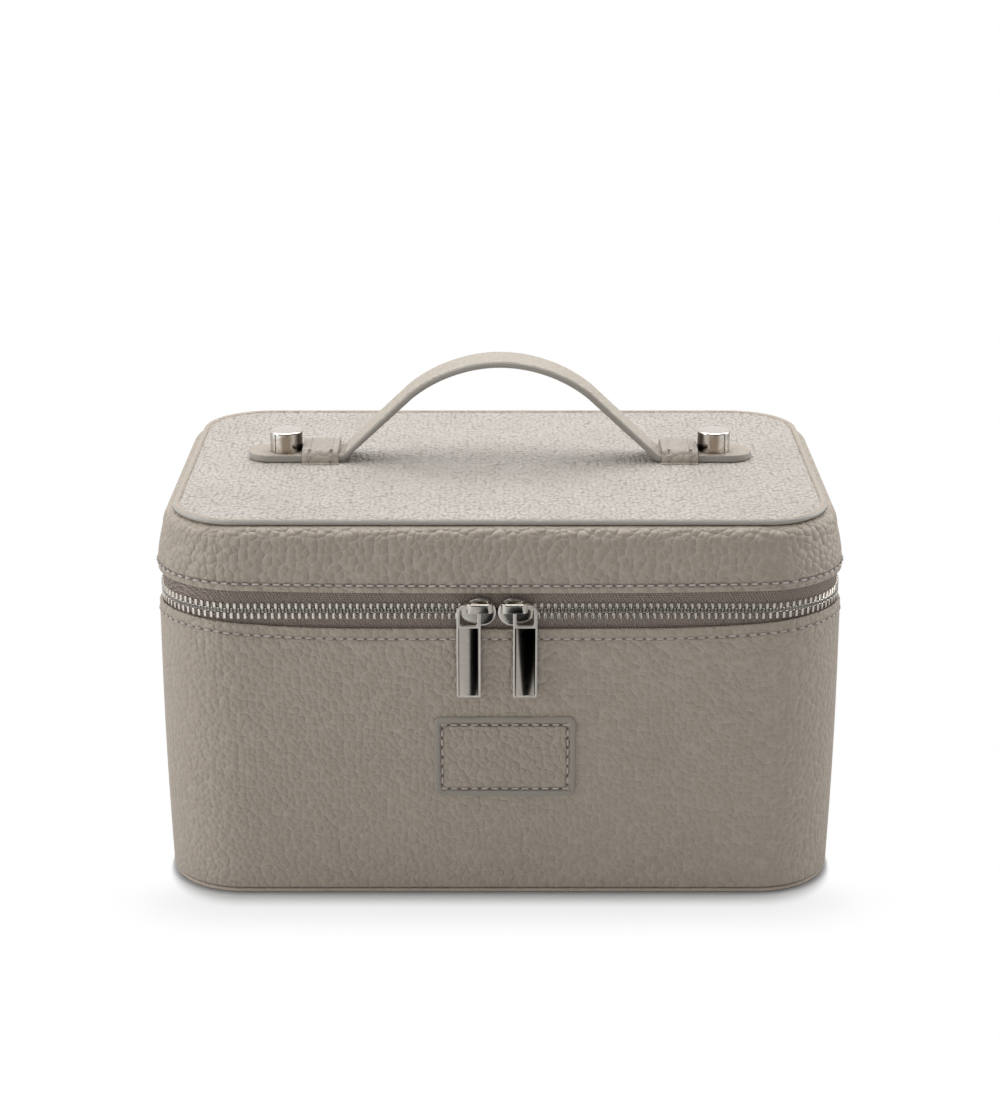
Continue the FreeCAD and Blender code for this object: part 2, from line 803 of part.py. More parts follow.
def arc_about(x, z, radius, start, end):
    return Part.ArcOfCircle(Part.Circle(V(x, z, 0), V(0, 0, 1), radius), start, end)


for piece in (
    Part.LineSegment(V(-strap_half.value, level, 0), V(-bend_x, level, 0)),
    arc_about(-bend_x, level + foot, foot, -up, -up + slope),
    Part.LineSegment(V(-knee_x, knee_z, 0), V(-shoulder_x, shoulder_z, 0)),
    arc_about(0, crown_z, crown, up - slope, up + slope),
    Part.LineSegment(V(shoulder_x, shoulder_z, 0), V(knee_x, knee_z, 0)),
    arc_about(bend_x, level + foot, foot, -up - slope, -up),
    Part.LineSegment(V(bend_x, level, 0), V(strap_half.value, level, 0)),
):
    path.addGeometry(piece)
flat_in, foot_in, rise, crest, fall, foot_out, flat_out = range(7)
constrain(path, "Tangent", flat_in, END, foot_in, START)
constrain(path, "Tangent", foot_in, END, rise, START)
constrain(path, "Tangent", rise, END, crest, END)
constrain(path, "Tangent", crest, START, fall, START)
constrain(path, "Tangent", fall, END, foot_out, START)
constrain(path, "Tangent", foot_out, END, flat_out, START)
constrain(path, "Horizontal", flat_in)
constrain(path, "Symmetric", flat_in, START, flat_out, END, -2)
constrain(path, "Symmetric", flat_in, END, flat_out, START, -2)
constrain(path, "Equal", foot_in, foot_out)
constrain(path, "PointOnObject", crest, CENTRE, -2)
drive(path, "Foot", "Radius", foot_radius, foot_in)
drive(path, "Crown", "Radius", crown_radius, crest)
drive(path, "Slope", "Angle", rise_angle, rise, unit=" * 1 deg")
drive(path, "Level", "DistanceY", strap_middle, *ORIGIN, flat_in, START)
drive(path, "LeftEnd", "DistanceX", strap_half, flat_in, START, *ORIGIN)
drive(path, "LeftBend", "DistanceX", keeper_reach, flat_in, END, *ORIGIN)
section = sketch(arch, "StrapSection", "YZ_Plane", -strap_half)
outline(
    section,
    [(-strap_width / 2, strap_foot), (strap_width / 2, strap_foot),
     (strap_width / 2, strap_foot + strap_thickness), (-strap_width / 2, strap_foot + strap_thickness)],
)
strap_pipe = arch.newObject("PartDesign::AdditivePipe", "StrapPipe")
strap_pipe.Profile = section
strap_pipe.Spine = path
keep("handle_strap", arch)
place(arch, 0, handle_setback, 0)

stud_reach = keeper_reach + keeper_width + strap_clearance + stud_diameter / 2


def strap_end(name):
    """The strap beyond the keeper: flat, round-ended, with a stepped hole for the stud's screw."""
    made = body(name)
    plan = sketch(made, name + "Plan", "XY_Plane", strap_foot)
    half = strap_width / 2
    start = strap_half + glue_line
    turn = strap_end_reach - half
    plan.addGeometry(Part.LineSegment(V(turn.value, half.value, 0), V(start.value, half.value, 0)))
    plan.addGeometry(Part.LineSegment(V(start.value, half.value, 0), V(start.value, -half.value, 0)))
    plan.addGeometry(Part.LineSegment(V(start.value, -half.value, 0), V(turn.value, -half.value, 0)))
    plan.addGeometry(arc_about(turn.value, 0, half.value, -up, up))
    constrain(plan, "Coincident", 0, END, 1, START)
    constrain(plan, "Coincident", 1, END, 2, START)
    constrain(plan, "Tangent", 2, END, 3, START)
    constrain(plan, "Tangent", 3, END, 0, START)
    constrain(plan, "Horizontal", 0)
    constrain(plan, "Horizontal", 2)
    constrain(plan, "Vertical", 1)
    constrain(plan, "PointOnObject", 3, CENTRE, -1)
    drive(plan, "Round", "Radius", half, 3)
    drive(plan, "Start", "DistanceX", start, *ORIGIN, 1, START)
    drive(plan, "Turn", "DistanceX", turn, *ORIGIN, 3, CENTRE)
    pad(made, plan, strap_thickness)
    seat = sketch(made, name + "ScrewSeat", "XY_Plane", strap_foot)
    circle(seat, screw_head + screw_clearance * 2, stud_reach)
    pocket(made, seat, screw_head_height + screw_clearance, reverse=True, name="Seat")
    hole = sketch(made, name + "ScrewHole", "XY_Plane", strap_foot)
    circle(hole, screw_diameter + screw_clearance * 2, stud_reach)
    pocket(made, hole, strap_thickness, reverse=True, name="Hole")
    return made


def turned(name, profile_points):
    """A round piece about the stud's axis."""
    made = body(name)
    half_section = sketch(made, name + "Section", "XZ_Plane")
    outline(half_section, profile_points)
    spin = made.newObject("PartDesign::Revolution", name + "Turned")
    spin.Profile = half_section
    spin.ReferenceAxis = (half_section, ["V_Axis"])
    spin.Angle = 360
    return made


strap_face = strap_foot + strap_thickness
stud_radius = stud_diameter / 2
bore_radius = screw_diameter / 2 + screw_clearance
stud_profile = [
    (bore_radius, strap_face),
    (stud_radius, strap_face),
    (stud_radius, strap_face + stud_height - stud_chamfer),
    (stud_radius - stud_chamfer, strap_face + stud_height),
    (0, strap_face + stud_height),
    (0, strap_face + screw_depth),
    (bore_radius, strap_face + screw_depth),
]
screw_foot = strap_foot + screw_clearance / 2
screw_profile = [
    (0, screw_foot),
    (screw_head / 2, screw_foot),
    (screw_head / 2, screw_foot + screw_head_height),
    (screw_diameter / 2, screw_foot + screw_head_height),
    (screw_diameter / 2, strap_face + screw_depth - screw_clearance),
    (0, strap_face + screw_depth - screw_clearance),
]


def keeper(name):
    """A leather loop over the strap, open at both ends, sewn down at its two feet."""
    made = body(name)
    view = sketch(made, name + "View", "YZ_Plane", keeper_reach)
    inner = strap_width / 2 + strap_clearance
    outer = inner + keeper_leather
    roof = strap_face + strap_clearance
    outline(
        view,
        [(-outer, lid_top), (-inner, lid_top), (-inner, roof), (inner, roof), (inner, lid_top),
         (outer, lid_top), (outer, roof + keeper_leather), (-outer, roof + keeper_leather)],
    )
    loop = pad(made, view, keeper_width)
    ridge = (roof + keeper_leather).value
    fillet(
        made, loop, keeper_edge,
        lambda ends: abs(ends[0].x - ends[-1].x) > NEAR
        and all(abs(p.z - ridge) < NEAR for p in ends),
    )
    return made


# Both sides carry the same keeper, strap end, stud and screw; the left ones are turned about.
for side, rotation in (("right", None), ("left", FreeCAD.Rotation(V(0, 0, 1), 180))):
    place(keep(f"{side}_keeper", keeper(side.title() + "Keeper")), 0, handle_setback, 0, rotation)
    end_piece = keep(f"{side}_strap_end", strap_end(side.title() + "StrapEnd"))
    place(end_piece, 0, handle_setback, 0, rotation)
    reach = stud_reach if side == "right" else -stud_reach
    stud = keep(f"{side}_stud", turned(side.title() + "Stud", stud_profile))
    place(stud, reach, handle_setback, 0)
    screw = keep(f"{side}_stud_screw", turned(side.title() + "StudScrew", screw_profile))
    place(screw, reach, handle_setback, 0)

doc.recompute()

for thing in doc.Objects:
    if "Invalid" in thing.State or "Error" in thing.State:
        raise RuntimeError(f"{thing.Name} ({thing.Label}) failed: {thing.State}")
for name, thing in parts.items():
    if thing.Shape.isNull() or not thing.Shape.isValid():
        raise RuntimeError(f"{name} has no valid shape")

os.makedirs("parts", exist_ok=True)
for name, thing in parts.items():
    thing.Shape.exportStep(f"parts/{name}.step")
    print(f"{name}: {len(thing.Shape.Solids)} solids, {thing.Shape.Volume:.1f} mm3")
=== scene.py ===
import math

import bpy
from mathutils import Matrix, Vector


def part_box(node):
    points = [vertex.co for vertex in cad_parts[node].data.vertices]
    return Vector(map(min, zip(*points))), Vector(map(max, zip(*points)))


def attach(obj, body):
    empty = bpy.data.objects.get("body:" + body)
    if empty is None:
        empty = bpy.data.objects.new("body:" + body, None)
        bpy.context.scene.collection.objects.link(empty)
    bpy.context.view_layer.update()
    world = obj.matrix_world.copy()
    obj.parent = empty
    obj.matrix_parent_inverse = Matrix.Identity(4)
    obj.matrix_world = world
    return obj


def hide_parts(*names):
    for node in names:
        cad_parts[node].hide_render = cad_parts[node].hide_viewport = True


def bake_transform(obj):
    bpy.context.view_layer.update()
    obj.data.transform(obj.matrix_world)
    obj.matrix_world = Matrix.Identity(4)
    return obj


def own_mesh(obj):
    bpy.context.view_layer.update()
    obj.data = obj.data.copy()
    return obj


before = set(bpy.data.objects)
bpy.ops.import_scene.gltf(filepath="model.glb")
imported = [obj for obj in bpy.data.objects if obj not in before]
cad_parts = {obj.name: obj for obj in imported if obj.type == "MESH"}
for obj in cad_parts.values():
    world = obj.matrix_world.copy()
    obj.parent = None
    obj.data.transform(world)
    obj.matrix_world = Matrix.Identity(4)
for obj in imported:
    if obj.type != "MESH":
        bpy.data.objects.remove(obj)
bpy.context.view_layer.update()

# The tub's outer leather: pebbled cowhide cut as one strip, wrapped round the wall board and
# turned in at the rim, where a row of stitches holds the zip tape behind it.
mm = 0.001
leather_colour = (155, 143, 129)
leather_deep = (140, 128, 114)
# painted light: a paler leather colour for creases and for faces that don't look up
leather_painted_light = (182, 172, 159)
# painted shade in the stitch holes
hole_painted_shade = (62, 50, 44)
# painted shade along the fold at the case's foot
fold_painted_shade = (76, 66, 58)
case_half_x, case_half_y, rim_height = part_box("case_wall_leather")[1]
base_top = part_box("base_panel")[1][2]
case_corner = 36 * mm
foot_corner = 32 * mm
base_half_x = 137 * mm
leather_thickness = 1.5 * mm
rim_foot = rim_height - 7 * mm
tub_bulge = 0.6 * mm
tub_corner_lift = 3.6 * mm
tub_lift_spread = 39 * mm
tub_lift_depth = 48 * mm
tub_stitch_drop = 4.1 * mm
leather_edge = 0.5 * mm
tiny = 0.1 * mm


class Outline:
    """A rectangle with round corners, walked from the middle of its back towards the left."""

    def __init__(self, half_x, half_y, corner):
        self.half_x = half_x
        self.half_y = half_y
        self.corner = corner
        self.flat_x = half_x - corner
        self.flat_y = half_y - corner
        self.turn = corner * math.pi / 2
        self.length = 4 * (self.flat_x + self.flat_y + self.turn)

    def inset(self, by):
        return Outline(self.half_x - by, self.half_y - by, max(self.corner - by, tiny))

    def place(self, distance):
        """The point and the heading in radians at a distance along the outline."""
        here = Vector((0, self.half_y, 0))
        heading = math.pi
        runs = (
            (self.flat_x, (-1, 1)),
            (self.flat_y * 2, (-1, -1)),
            (self.flat_x * 2, (1, -1)),
            (self.flat_y * 2, (1, 1)),
        )
        distance %= self.length
        for run, (side_x, side_y) in runs:
            if distance <= run:
                break
            distance -= run
            swept = min(distance / self.corner, math.pi / 2)
            ray = heading - math.pi / 2 + swept
            centre = Vector((side_x * self.flat_x, side_y * self.flat_y, 0))
            here = centre + Vector((math.cos(ray), math.sin(ray), 0)) * self.corner
            heading += swept
            if distance <= self.turn:
                return here, heading
            distance -= self.turn
        return here + Vector((math.cos(heading), math.sin(heading), 0)) * distance, heading

    def distance(self, x, y):
        """How far along the outline the point of it lies that is nearest to a place."""
        past_x = abs(x) - self.flat_x
        past_y = abs(y) - self.flat_y
        if past_x > 0 and past_y > 0:
            angle = math.atan2(past_x, past_y)
        else:
            angle = math.pi / 2 if past_x > past_y else 0
        # on a quarter of the outline, counted from the middle of the back or of the front
        quarter = self.flat_x + self.corner * angle
        if angle == 0:
            quarter = min(abs(x), self.flat_x)
        elif angle == math.pi / 2:
            quarter += self.flat_y - min(abs(y), self.flat_y)
        if y < 0:
            quarter = self.length / 2 - quarter
        return quarter if x <= 0 else self.length - quarter

    def to_corner(self, x, y):
        """How far along the outline the middle of the nearest corner is."""
        here = self.distance(x, y) % (self.length / 2)
        middles = (self.flat_x + self.turn / 2, self.length / 2 - self.flat_x - self.turn / 2)
        return min(abs(here - middle) for middle in middles)


def pick(*pieces):
    """Selects pieces and nothing else, the first of them active."""
    bpy.ops.object.select_all(action="DESELECT")
    for piece in reversed(pieces):
        piece.select_set(True)
        bpy.context.view_layer.objects.active = piece


def add(kind, name, scale=(1, 1, 1), location=(0, 0, 0), **settings):
    """Adds a primitive whose scale and place are applied to its mesh."""
    pick()
    getattr(bpy.ops.mesh, "primitive_" + kind + "_add")(**settings)
    piece = bpy.context.object
    piece.name = name
    piece.scale = scale
    piece.location = location
    bpy.ops.object.transform_apply(location=True, rotation=True, scale=True)
    return piece


def leave():
    bpy.ops.object.mode_set(mode="OBJECT")


def choose_all():
    """Opens the active piece with its whole mesh chosen."""
    bpy.ops.object.mode_set(mode="EDIT")
    bpy.ops.mesh.select_all(action="SELECT")


def face_outwards():
    """Turns every face of the open piece outwards and leaves edit mode."""
    choose_all()
    bpy.ops.mesh.normals_make_consistent(inside=False)
    leave()


def choose(piece, kind, test):
    """Selects the faces, edges or points of a piece that pass a test, and stays in edit mode."""
    bpy.ops.object.mode_set(mode="EDIT")
    bpy.ops.mesh.select_mode(type=kind)
    bpy.ops.mesh.select_all(action="DESELECT")
    leave()
    mesh = piece.data
    if kind == "FACE":
        for face in mesh.polygons:
            face.select = test(face.center, face.normal)
    elif kind == "EDGE":
        for edge in mesh.edges:
            edge.select = test(*(mesh.vertices[index].co for index in edge.vertices))
    else:
        for point in mesh.vertices:
            point.select = test(point.co)
    bpy.ops.object.mode_set(mode="EDIT")


def push(x, y, z, grow=None, **centre):
    """Extrudes what is chosen by a step, and scales it there if it grows."""
    bpy.ops.mesh.extrude_region_move(TRANSFORM_OT_translate={"value": (x, y, z)})
    if grow:
        bpy.ops.transform.resize(value=grow, **centre)


def round_corners(radius, segments):
    """Rounds the corners of the flat face that is chosen."""
    bpy.ops.mesh.bevel(offset=radius, affect="VERTICES", segments=segments, clamp_overlap=False)


def modify(piece, kind, **settings):
    """Adds a modifier to a piece and applies it."""
    pick(piece)
    bpy.ops.object.modifier_add(type=kind)
    made = piece.modifiers[-1]
    for key, value in settings.items():
        setattr(made, key, value)
    bpy.ops.object.modifier_apply(modifier=made.name)


def thicken(piece, thickness):
    """Gives an open skin its thickness, inwards."""
    modify(piece, "SOLIDIFY", thickness=thickness, offset=-1, use_even_offset=True)


def round_off(piece, width, segments, degrees=30):
    """Rounds the edges that are sharper than an angle."""
    modify(piece, "BEVEL", width=width, segments=segments, limit_method="ANGLE",
           angle_limit=math.radians(degrees))


def merge(name, *pieces):
    """Joins pieces into the first of them."""
    pick(*pieces)
    bpy.ops.object.join()
    pieces[0].name = name
    return pieces[0]


def rounded_plate(name, outline, height):
    """A flat face with the outline, its long sides cut into short runs."""
    scale = (2 * outline.half_x, 2 * outline.half_y, 1)
    piece = add("plane", name, scale, (0, 0, height), size=1)
    choose_all()
    round_corners(outline.corner, 14)
    choose_all()
    bpy.ops.mesh.delete(type="ONLY_FACE")
    choose(piece, "EDGE", lambda a, b: abs(a.x - b.x) > outline.flat_x)
    bpy.ops.mesh.subdivide(number_cuts=27)
    choose(piece, "EDGE", lambda a, b: abs(a.y - b.y) > outline.flat_y)
    bpy.ops.mesh.subdivide(number_cuts=15)
    choose_all()
    bpy.ops.mesh.edge_face_add()
    leave()
    return piece


def tapered_tube(name, foot, foot_height, rim, top, cuts):
    """An open tube that leans out from one outline to another and then rises straight."""
    piece = merge(name, rounded_plate(name, foot, foot_height), rounded_plate("collar", rim, rim_foot))
    choose(piece, "FACE", lambda centre, normal: True)
    bpy.ops.mesh.delete(type="ONLY_FACE")
    bpy.ops.mesh.select_mode(type="EDGE")
    choose_all()
    bpy.ops.mesh.bridge_edge_loops(number_cuts=cuts, interpolation="LINEAR")
    choose(piece, "EDGE", lambda a, b: min(a.z, b.z) > rim_foot - tiny)
    bpy.ops.mesh.extrude_edges_move(TRANSFORM_OT_translate={"value": (0, 0, top - rim_foot)})
    return piece


def ease(share):
    """A smooth step from 0 to 1."""
    share = min(max(share, 0), 1)
    return share * share * (3 - 2 * share)


def soften(piece, rule):
    """Moves each point by what a rule of its place gives, as soft leather settles."""
    for point in piece.data.vertices:
        point.co += rule(point.co)


def lay_round(piece, outline, rise):
    """A UV map that runs round the case in metres, and up it as a rule of the place gives."""
    layer = piece.data.uv_layers.new(name="Rounds")
    mesh = piece.data
    for face in mesh.polygons:
        middle = outline.distance(face.center.x, face.center.y)
        for loop in face.loop_indices:
            co = mesh.vertices[mesh.loops[loop].vertex_index].co
            along = outline.distance(co.x, co.y)
            if along - middle > outline.length / 2:
                along -= outline.length
            elif middle - along > outline.length / 2:
                along += outline.length
            layer.data[loop].uv = (along, rise(co))


def finish(piece, material, degrees=40):
    """Shades a piece smoothly but over its sharp edges, and gives it its material."""
    pick(piece)
    bpy.ops.object.shade_smooth_by_angle(angle=math.radians(degrees))
    piece.data.materials.append(material)


def declare(piece, node, body):
    """Hides the frame's piece that this one replaces, and hangs this one on what carries it."""
    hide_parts(node)
    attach(piece, body)


def by_math(operation):
    """An operator of a shader value that adds a Math node."""
    return lambda self, other: self.math(operation, other)


class Wire:
    """A shader value: arithmetic on it adds the Math nodes."""

    def __init__(self, tree, socket):
        self.tree = tree
        self.socket = socket

    def math(self, operation, *others):
        node = self.tree.nodes.new("ShaderNodeMath")
        node.operation = operation
        for slot, value in enumerate((self, *others)):
            plug(self.tree, node.inputs[slot], value)
        return Wire(self.tree, node.outputs[0])

    def __rsub__(self, other):
        return self * -1 + other

    __add__ = __radd__ = by_math("ADD")
    __sub__ = by_math("SUBTRACT")
    __mul__ = __rmul__ = by_math("MULTIPLY")
    __truediv__ = by_math("DIVIDE")

    def size(self):
        return self.math("ABSOLUTE")

    def step(self, low, high):
        """A smooth step from 0 at low to 1 at high."""
        share = ((self - low) / (high - low)).math("MAXIMUM", 0).math("MINIMUM", 1)
        return share * share * (3 - share * 2)

    def near(self, place, width):
        """1 at a place and 0 a width away from it."""
        return 1 - (self - place).size().step(0, width)

    def wave(self, length):
        """A sine wave of a length in metres."""
        return (self * (2 * math.pi / length)).math("SINE")


def plug(tree, socket, value):
    if isinstance(value, Wire):
        tree.links.new(value.socket, socket)
    else:
        socket.default_value = value


def srgb(red, green, blue):
    """A colour as a screen shows it, 0 to 255, turned into the light that it stands for."""
    levels = [value / 255 for value in (red, green, blue)]
    return (*(v / 12.92 if v < 0.04045 else ((v + 0.055) / 1.055) ** 2.4 for v in levels), 1)


class Finish:
    """A material, or a world, and its nodes; its colours are screen colours, 0 to 255."""

    def __init__(self, name):
        self.material = bpy.data.materials.new(name) if isinstance(name, str) else name
        self.material.use_nodes = True
        self.tree = self.material.node_tree
        self.tree.nodes.clear()

    def node(self, kind, settings, inputs, output=0):
        """Adds a node: its settings first, then the values or links of its sockets."""
        made = self.tree.nodes.new("ShaderNode" + kind)
        for key, value in settings.items():
            setattr(made, key, value)
        for key, value in inputs.items():
            plug(self.tree, made.inputs[key], value)
        return Wire(self.tree, made.outputs[output])

    def place(self):
        return self.node("TexCoord", {}, {}, "Object")

    def axes(self, vector=None):
        """The three parts of a vector, which is the place on the piece if none is given."""
        split = self.node("SeparateXYZ", {}, {0: vector or self.place()})
        return [Wire(self.tree, socket) for socket in split.socket.node.outputs]

    def facing(self):
        return self.axes(self.node("NewGeometry", {}, {}, "Normal"))

    def noise(self, size, detail=2.0):
        """Noise from 0 to 1 whose blotches have a size in metres."""
        inputs = {"Vector": self.place(), "Scale": 1 / size, "Detail": detail}
        return self.node("TexNoise", {}, inputs, "Fac")

    def edges(self, low=0.3, high=0.7):
        """1 on the dyed edges, and on the pulls' rims with their painted highlight, that the points are
        marked with.
        """
        return self.node("Attribute", {"attribute_name": "edge"}, {}, "Fac").step(low, high)

    def mix(self, share, first, second):
        inputs = {0: share, 6: first, 7: second}
        for key, value in inputs.items():
            inputs[key] = srgb(*value) if isinstance(value, tuple) else value
        return self.node("Mix", {"data_type": "RGBA"}, inputs, 2)

    def surface(self, colour, roughness, height=None, relief=0.1 * mm, metallic=0.0, shine=0.5):
        inputs = {"Base Color": colour, "Roughness": roughness, "Metallic": metallic,
                  "Specular IOR Level": shine}
        if height is not None:
            inputs["Normal"] = self.node("Bump", {}, {"Height": height, "Distance": relief})
        return self.show(self.node("BsdfPrincipled", {}, inputs))

    def show(self, shader, kind="Material"):
        output = self.tree.nodes.new("ShaderNodeOutput" + kind)
        self.tree.links.new(shader.socket, output.inputs["Surface"])
        return self.material


def grain(made, cell):
    """Pebbles: 1 on their domes and 0 in the creases between them."""
    spot = made.place()
    drift = made.node("TexNoise", {}, {"Vector": spot, "Scale": 0.55 / cell, "Detail": 1.0}, "Color")
    drift = made.node("VectorMath", {"operation": "SUBTRACT"}, {0: drift, 1: (0.5, 0.5, 0.5)})
    drift = made.node("VectorMath", {"operation": "SCALE"}, {0: drift, "Scale": cell * 0.4})
    bent = made.node("VectorMath", {"operation": "ADD"}, {0: spot, 1: drift})
    cells = {"Vector": bent, "Scale": 1 / cell, "Randomness": 0.8}
    dome = made.node("TexVoronoi", {"feature": "F1"}, cells, "Distance")
    edge = made.node("TexVoronoi", {"feature": "DISTANCE_TO_EDGE"}, cells, "Distance")
    return (1 - dome * dome * 1.7) * 0.86 + edge.step(0, 0.2) * 0.14


def leather(name, cell, relief, seam=None, dyed_edge=None, shine=0.7,
            base=leather_colour, crease_shading=leather_painted_light, fold=None):
    """Pebbled leather. A seam is a height on the UV map and a stitch pitch, a fold is a height."""
    made = Finish(name)
    pebble = grain(made, cell)
    height = pebble + made.noise(0.35 * mm) * 0.1
    colour = made.mix(made.noise(28 * mm).step(0.3, 0.7) * 0.2, base, leather_deep)
    # the creases are painted in their own colour: paler by default, a painted highlight where light
    # from above catches them; the darker one given for the lid's top is painted shade
    colour = made.mix((1 - pebble) * 0.36, colour, crease_shading)
    if seam:
        along, up, _ = made.axes(made.node("UVMap", {"uv_map": "Rounds"}, {}))
        groove = up.near(seam[0], 1.1 * mm)
        hole = (along / seam[1]).math("FRACT").near(0.5, 0.24) * up.near(seam[0], 0.6 * mm)
        height = height * (1 - groove * 0.7) - groove * 0.4 - hole * 0.8
        # the stitch holes are painted dark: painted shade
        colour = made.mix(hole * 0.9, colour, hole_painted_shade)
    if fold:
        # the fold's line is painted dark: painted shade in the crease where the tub's leather meets the
        # base
        depth = made.axes()[2].near(fold, 0.65 * mm) * 0.8
        colour = made.mix(depth, colour, fold_painted_shade)
        height = height - depth
    roughness = 0.56 - pebble * 0.12
    if dyed_edge:
        edge = made.edges()
        colour = made.mix(edge, colour, dyed_edge)
        height = height * (1 - edge)
        roughness = roughness * (1 - edge) + edge * 0.42
    return made.surface(colour, roughness, height, relief, shine=shine)


def stitch():
    """One stitch: a short fat thread lying along X, its ends dipping into the leather."""
    piece = add("cylinder", "stitch", vertices=8, radius=0.36 * mm, depth=1.8 * mm,
                rotation=(0, math.pi / 2, 0))
    for end in (-1, 1):
        choose(piece, "FACE", lambda centre, normal: normal.x * end > 0.9)
        push(0.3 * mm * end, 0, 0, (1, 0.45, 0.45))
    leave()
    return piece


def copies(name, pattern, places):
    """Copies of a piece at each place, each with its own mesh, joined as one."""
    made = []
    for place in places:
        piece = pattern.copy()
        piece.data = pattern.data.copy()
        piece.data.transform(place)
        bpy.context.collection.objects.link(piece)
        made.append(piece)
    bpy.data.objects.remove(pattern)
    joined = merge(name, *made)
    joined.data.name = name
    return joined


def sew(name, places, body):
    """A row of stitches as one piece that a body carries."""
    row = copies(name, stitch(), places)
    row.data.materials.append(thread)
    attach(row, body)


made = Finish("sewing_thread")
twist = made.noise(0.25 * mm)
thread_colour = made.mix(twist.step(0.4, 0.7), (192, 184, 180), (150, 142, 138))
thread = made.surface(thread_colour, 0.6, twist, 0.05 * mm)
case_outline = Outline(case_half_x, case_half_y, case_corner)
aimed_pitch = 4.1 * mm
tub_stitches = round(case_outline.length / aimed_pitch)
stitch_pitch = case_outline.length / tub_stitches


def frontward(y):
    """1 along the front and 0 behind the middle, where the hinge holds both rims level."""
    return ease((20 * mm - y) / (70 * mm))


def tub_rule(co):
    """The soft wall swells a little at half height, and its rim lifts at the corners."""
    swell = tub_bulge * math.sin(math.pi * min(co.z / rim_foot, 1))
    away = case_outline.to_corner(co.x, co.y)
    lift = tub_corner_lift * math.exp(-((away / tub_lift_spread) ** 2)) * frontward(co.y)
    lift *= ease((co.z - rim_height + tub_lift_depth) / tub_lift_depth)
    return Vector((co.x / case_half_x * swell, co.y / case_half_y * swell, lift))


tub_foot = Outline(base_half_x, case_half_y, foot_corner)
tub = tapered_tube("tub_leather", tub_foot, base_top, case_outline, rim_height, 17)
face_outwards()
thicken(tub, leather_thickness)
round_off(tub, leather_edge, 3, 60)
lay_round(tub, case_outline, lambda co: co.z - rim_height)
soften(tub, tub_rule)
finish(tub, leather("tub_leather", cell=2.5 * mm, relief=0.6 * mm,
                    seam=(-tub_stitch_drop, stitch_pitch), fold=base_top))
declare(tub, "case_wall_leather", "case_body")


def seam_places(outline, count, height=0, out=0, rule=None):
    """A place for each stitch of a row round an outline, on leather that a rule lifts."""
    for number in range(count):
        point, heading = outline.place((number + 1) * outline.length / count)
        spot = point + Vector((math.sin(heading), -math.cos(heading), 0)) * out
        spot.z = height
        if rule:
            spot.z += rule(Vector((point.x, point.y, height))).z
        yield Matrix.Translation(spot) @ Matrix.Rotation(heading, 4, "Z")


tub_row = seam_places(case_outline, tub_stitches, rim_height - tub_stitch_drop, 0.05 * mm, tub_rule)
sew("tub_seam", tub_row, "case_body")

# The lid's band: the same leather, sewn over the upper tape, rising straight and rolling over the
# shoulder to the piped seam.
lid_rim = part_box("lid_band_leather")[0][2]
seam_height = 155.6 * mm
shoulder = 7 * mm
upright_top = seam_height - shoulder
band_bulge = 0.3 * mm
band_lean = 2.3 * mm
band_turn_in = 2.4 * mm
band_steps = 9
lid_corner_lift = 1.3 * mm
lid_lift_spread = 55 * mm
band_stitch_rise = 3.3 * mm


def lid_rule(co):
    """The lid's rim lifts a little at the corners too."""
    away = case_outline.to_corner(co.x, co.y)
    fade = 1 - ease((co.z - lid_rim) / (upright_top - lid_rim))
    lift = lid_corner_lift * math.exp(-((away / lid_lift_spread) ** 2))
    return Vector((0, 0, lift * fade * frontward(co.y)))


def lean_inset(share):
    """How far the band has leaned in, a share of the way up to its shoulder."""
    return band_lean * share ** 1.5


def take_off(piece, test):
    """Takes off the faces whose middle passes a test."""
    choose(piece, "FACE", lambda centre, normal: test(centre))
    bpy.ops.mesh.delete(type="FACE")
    leave()


def open_ends(piece):
    take_off(piece, lambda centre: abs(centre.x) + abs(centre.y) < mm)


def sleeve(name, outline, levels):
    """A closed block on the outline: each level is a height and an inset, from the first on."""
    height, inset = levels[0]
    last = outline.inset(inset)
    piece = rounded_plate(name, last, height)
    choose_all()
    for next_height, next_inset in levels[1:]:
        section = outline.inset(next_inset)
        grow = (section.half_x / last.half_x, section.half_y / last.half_y, 1)
        push(0, 0, next_height - height, grow, center_override=(0, 0, next_height))
        height, last = next_height, section
    face_outwards()
    return piece


def roll(height, inset, rise, reach, steps):
    """The levels of a sleeve that rolls over inwards from a height and an inset."""
    angles = [number / steps * math.pi / 2 for number in range(steps + 1)]
    return [(height + rise * math.sin(angle), inset + reach * (1 - math.cos(angle)))
            for angle in angles]


band_levels = []
for number in range(band_steps):
    share = number / band_steps
    band_levels.append((lid_rim + share * (upright_top - lid_rim),
                        lean_inset(share) - band_bulge * math.sin(math.pi * share)))
band_levels += roll(upright_top, band_lean, shoulder, shoulder - band_lean, band_steps)
band_levels.append((seam_height, shoulder + band_turn_in))
band = sleeve("lid_band", case_outline, band_levels)
open_ends(band)
thicken(band, leather_thickness)
round_off(band, leather_edge, 3, 60)
lay_round(band, case_outline, lambda co: co.z - lid_rim)
soften(band, lid_rule)
finish(band, leather("band_leather", cell=3.1 * mm, relief=0.8 * mm,
                     seam=(band_stitch_rise, stitch_pitch)))
declare(band, "lid_band_leather", "lid")

band_row = seam_places(case_outline, tub_stitches, lid_rim + band_stitch_rise, 0.3 * mm, lid_rule)
sew("band_seam", band_row, "lid")

# The piping: the raised edge where the band and the lid's top are sewn together, its outer face
# dyed and polished and its inner face grained like the top.
keeper_pitch = 2.3 * mm


def box(node):
    """The two corners of the space that one of the frame's pieces fills."""
    return [Vector(corner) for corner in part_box(node)]


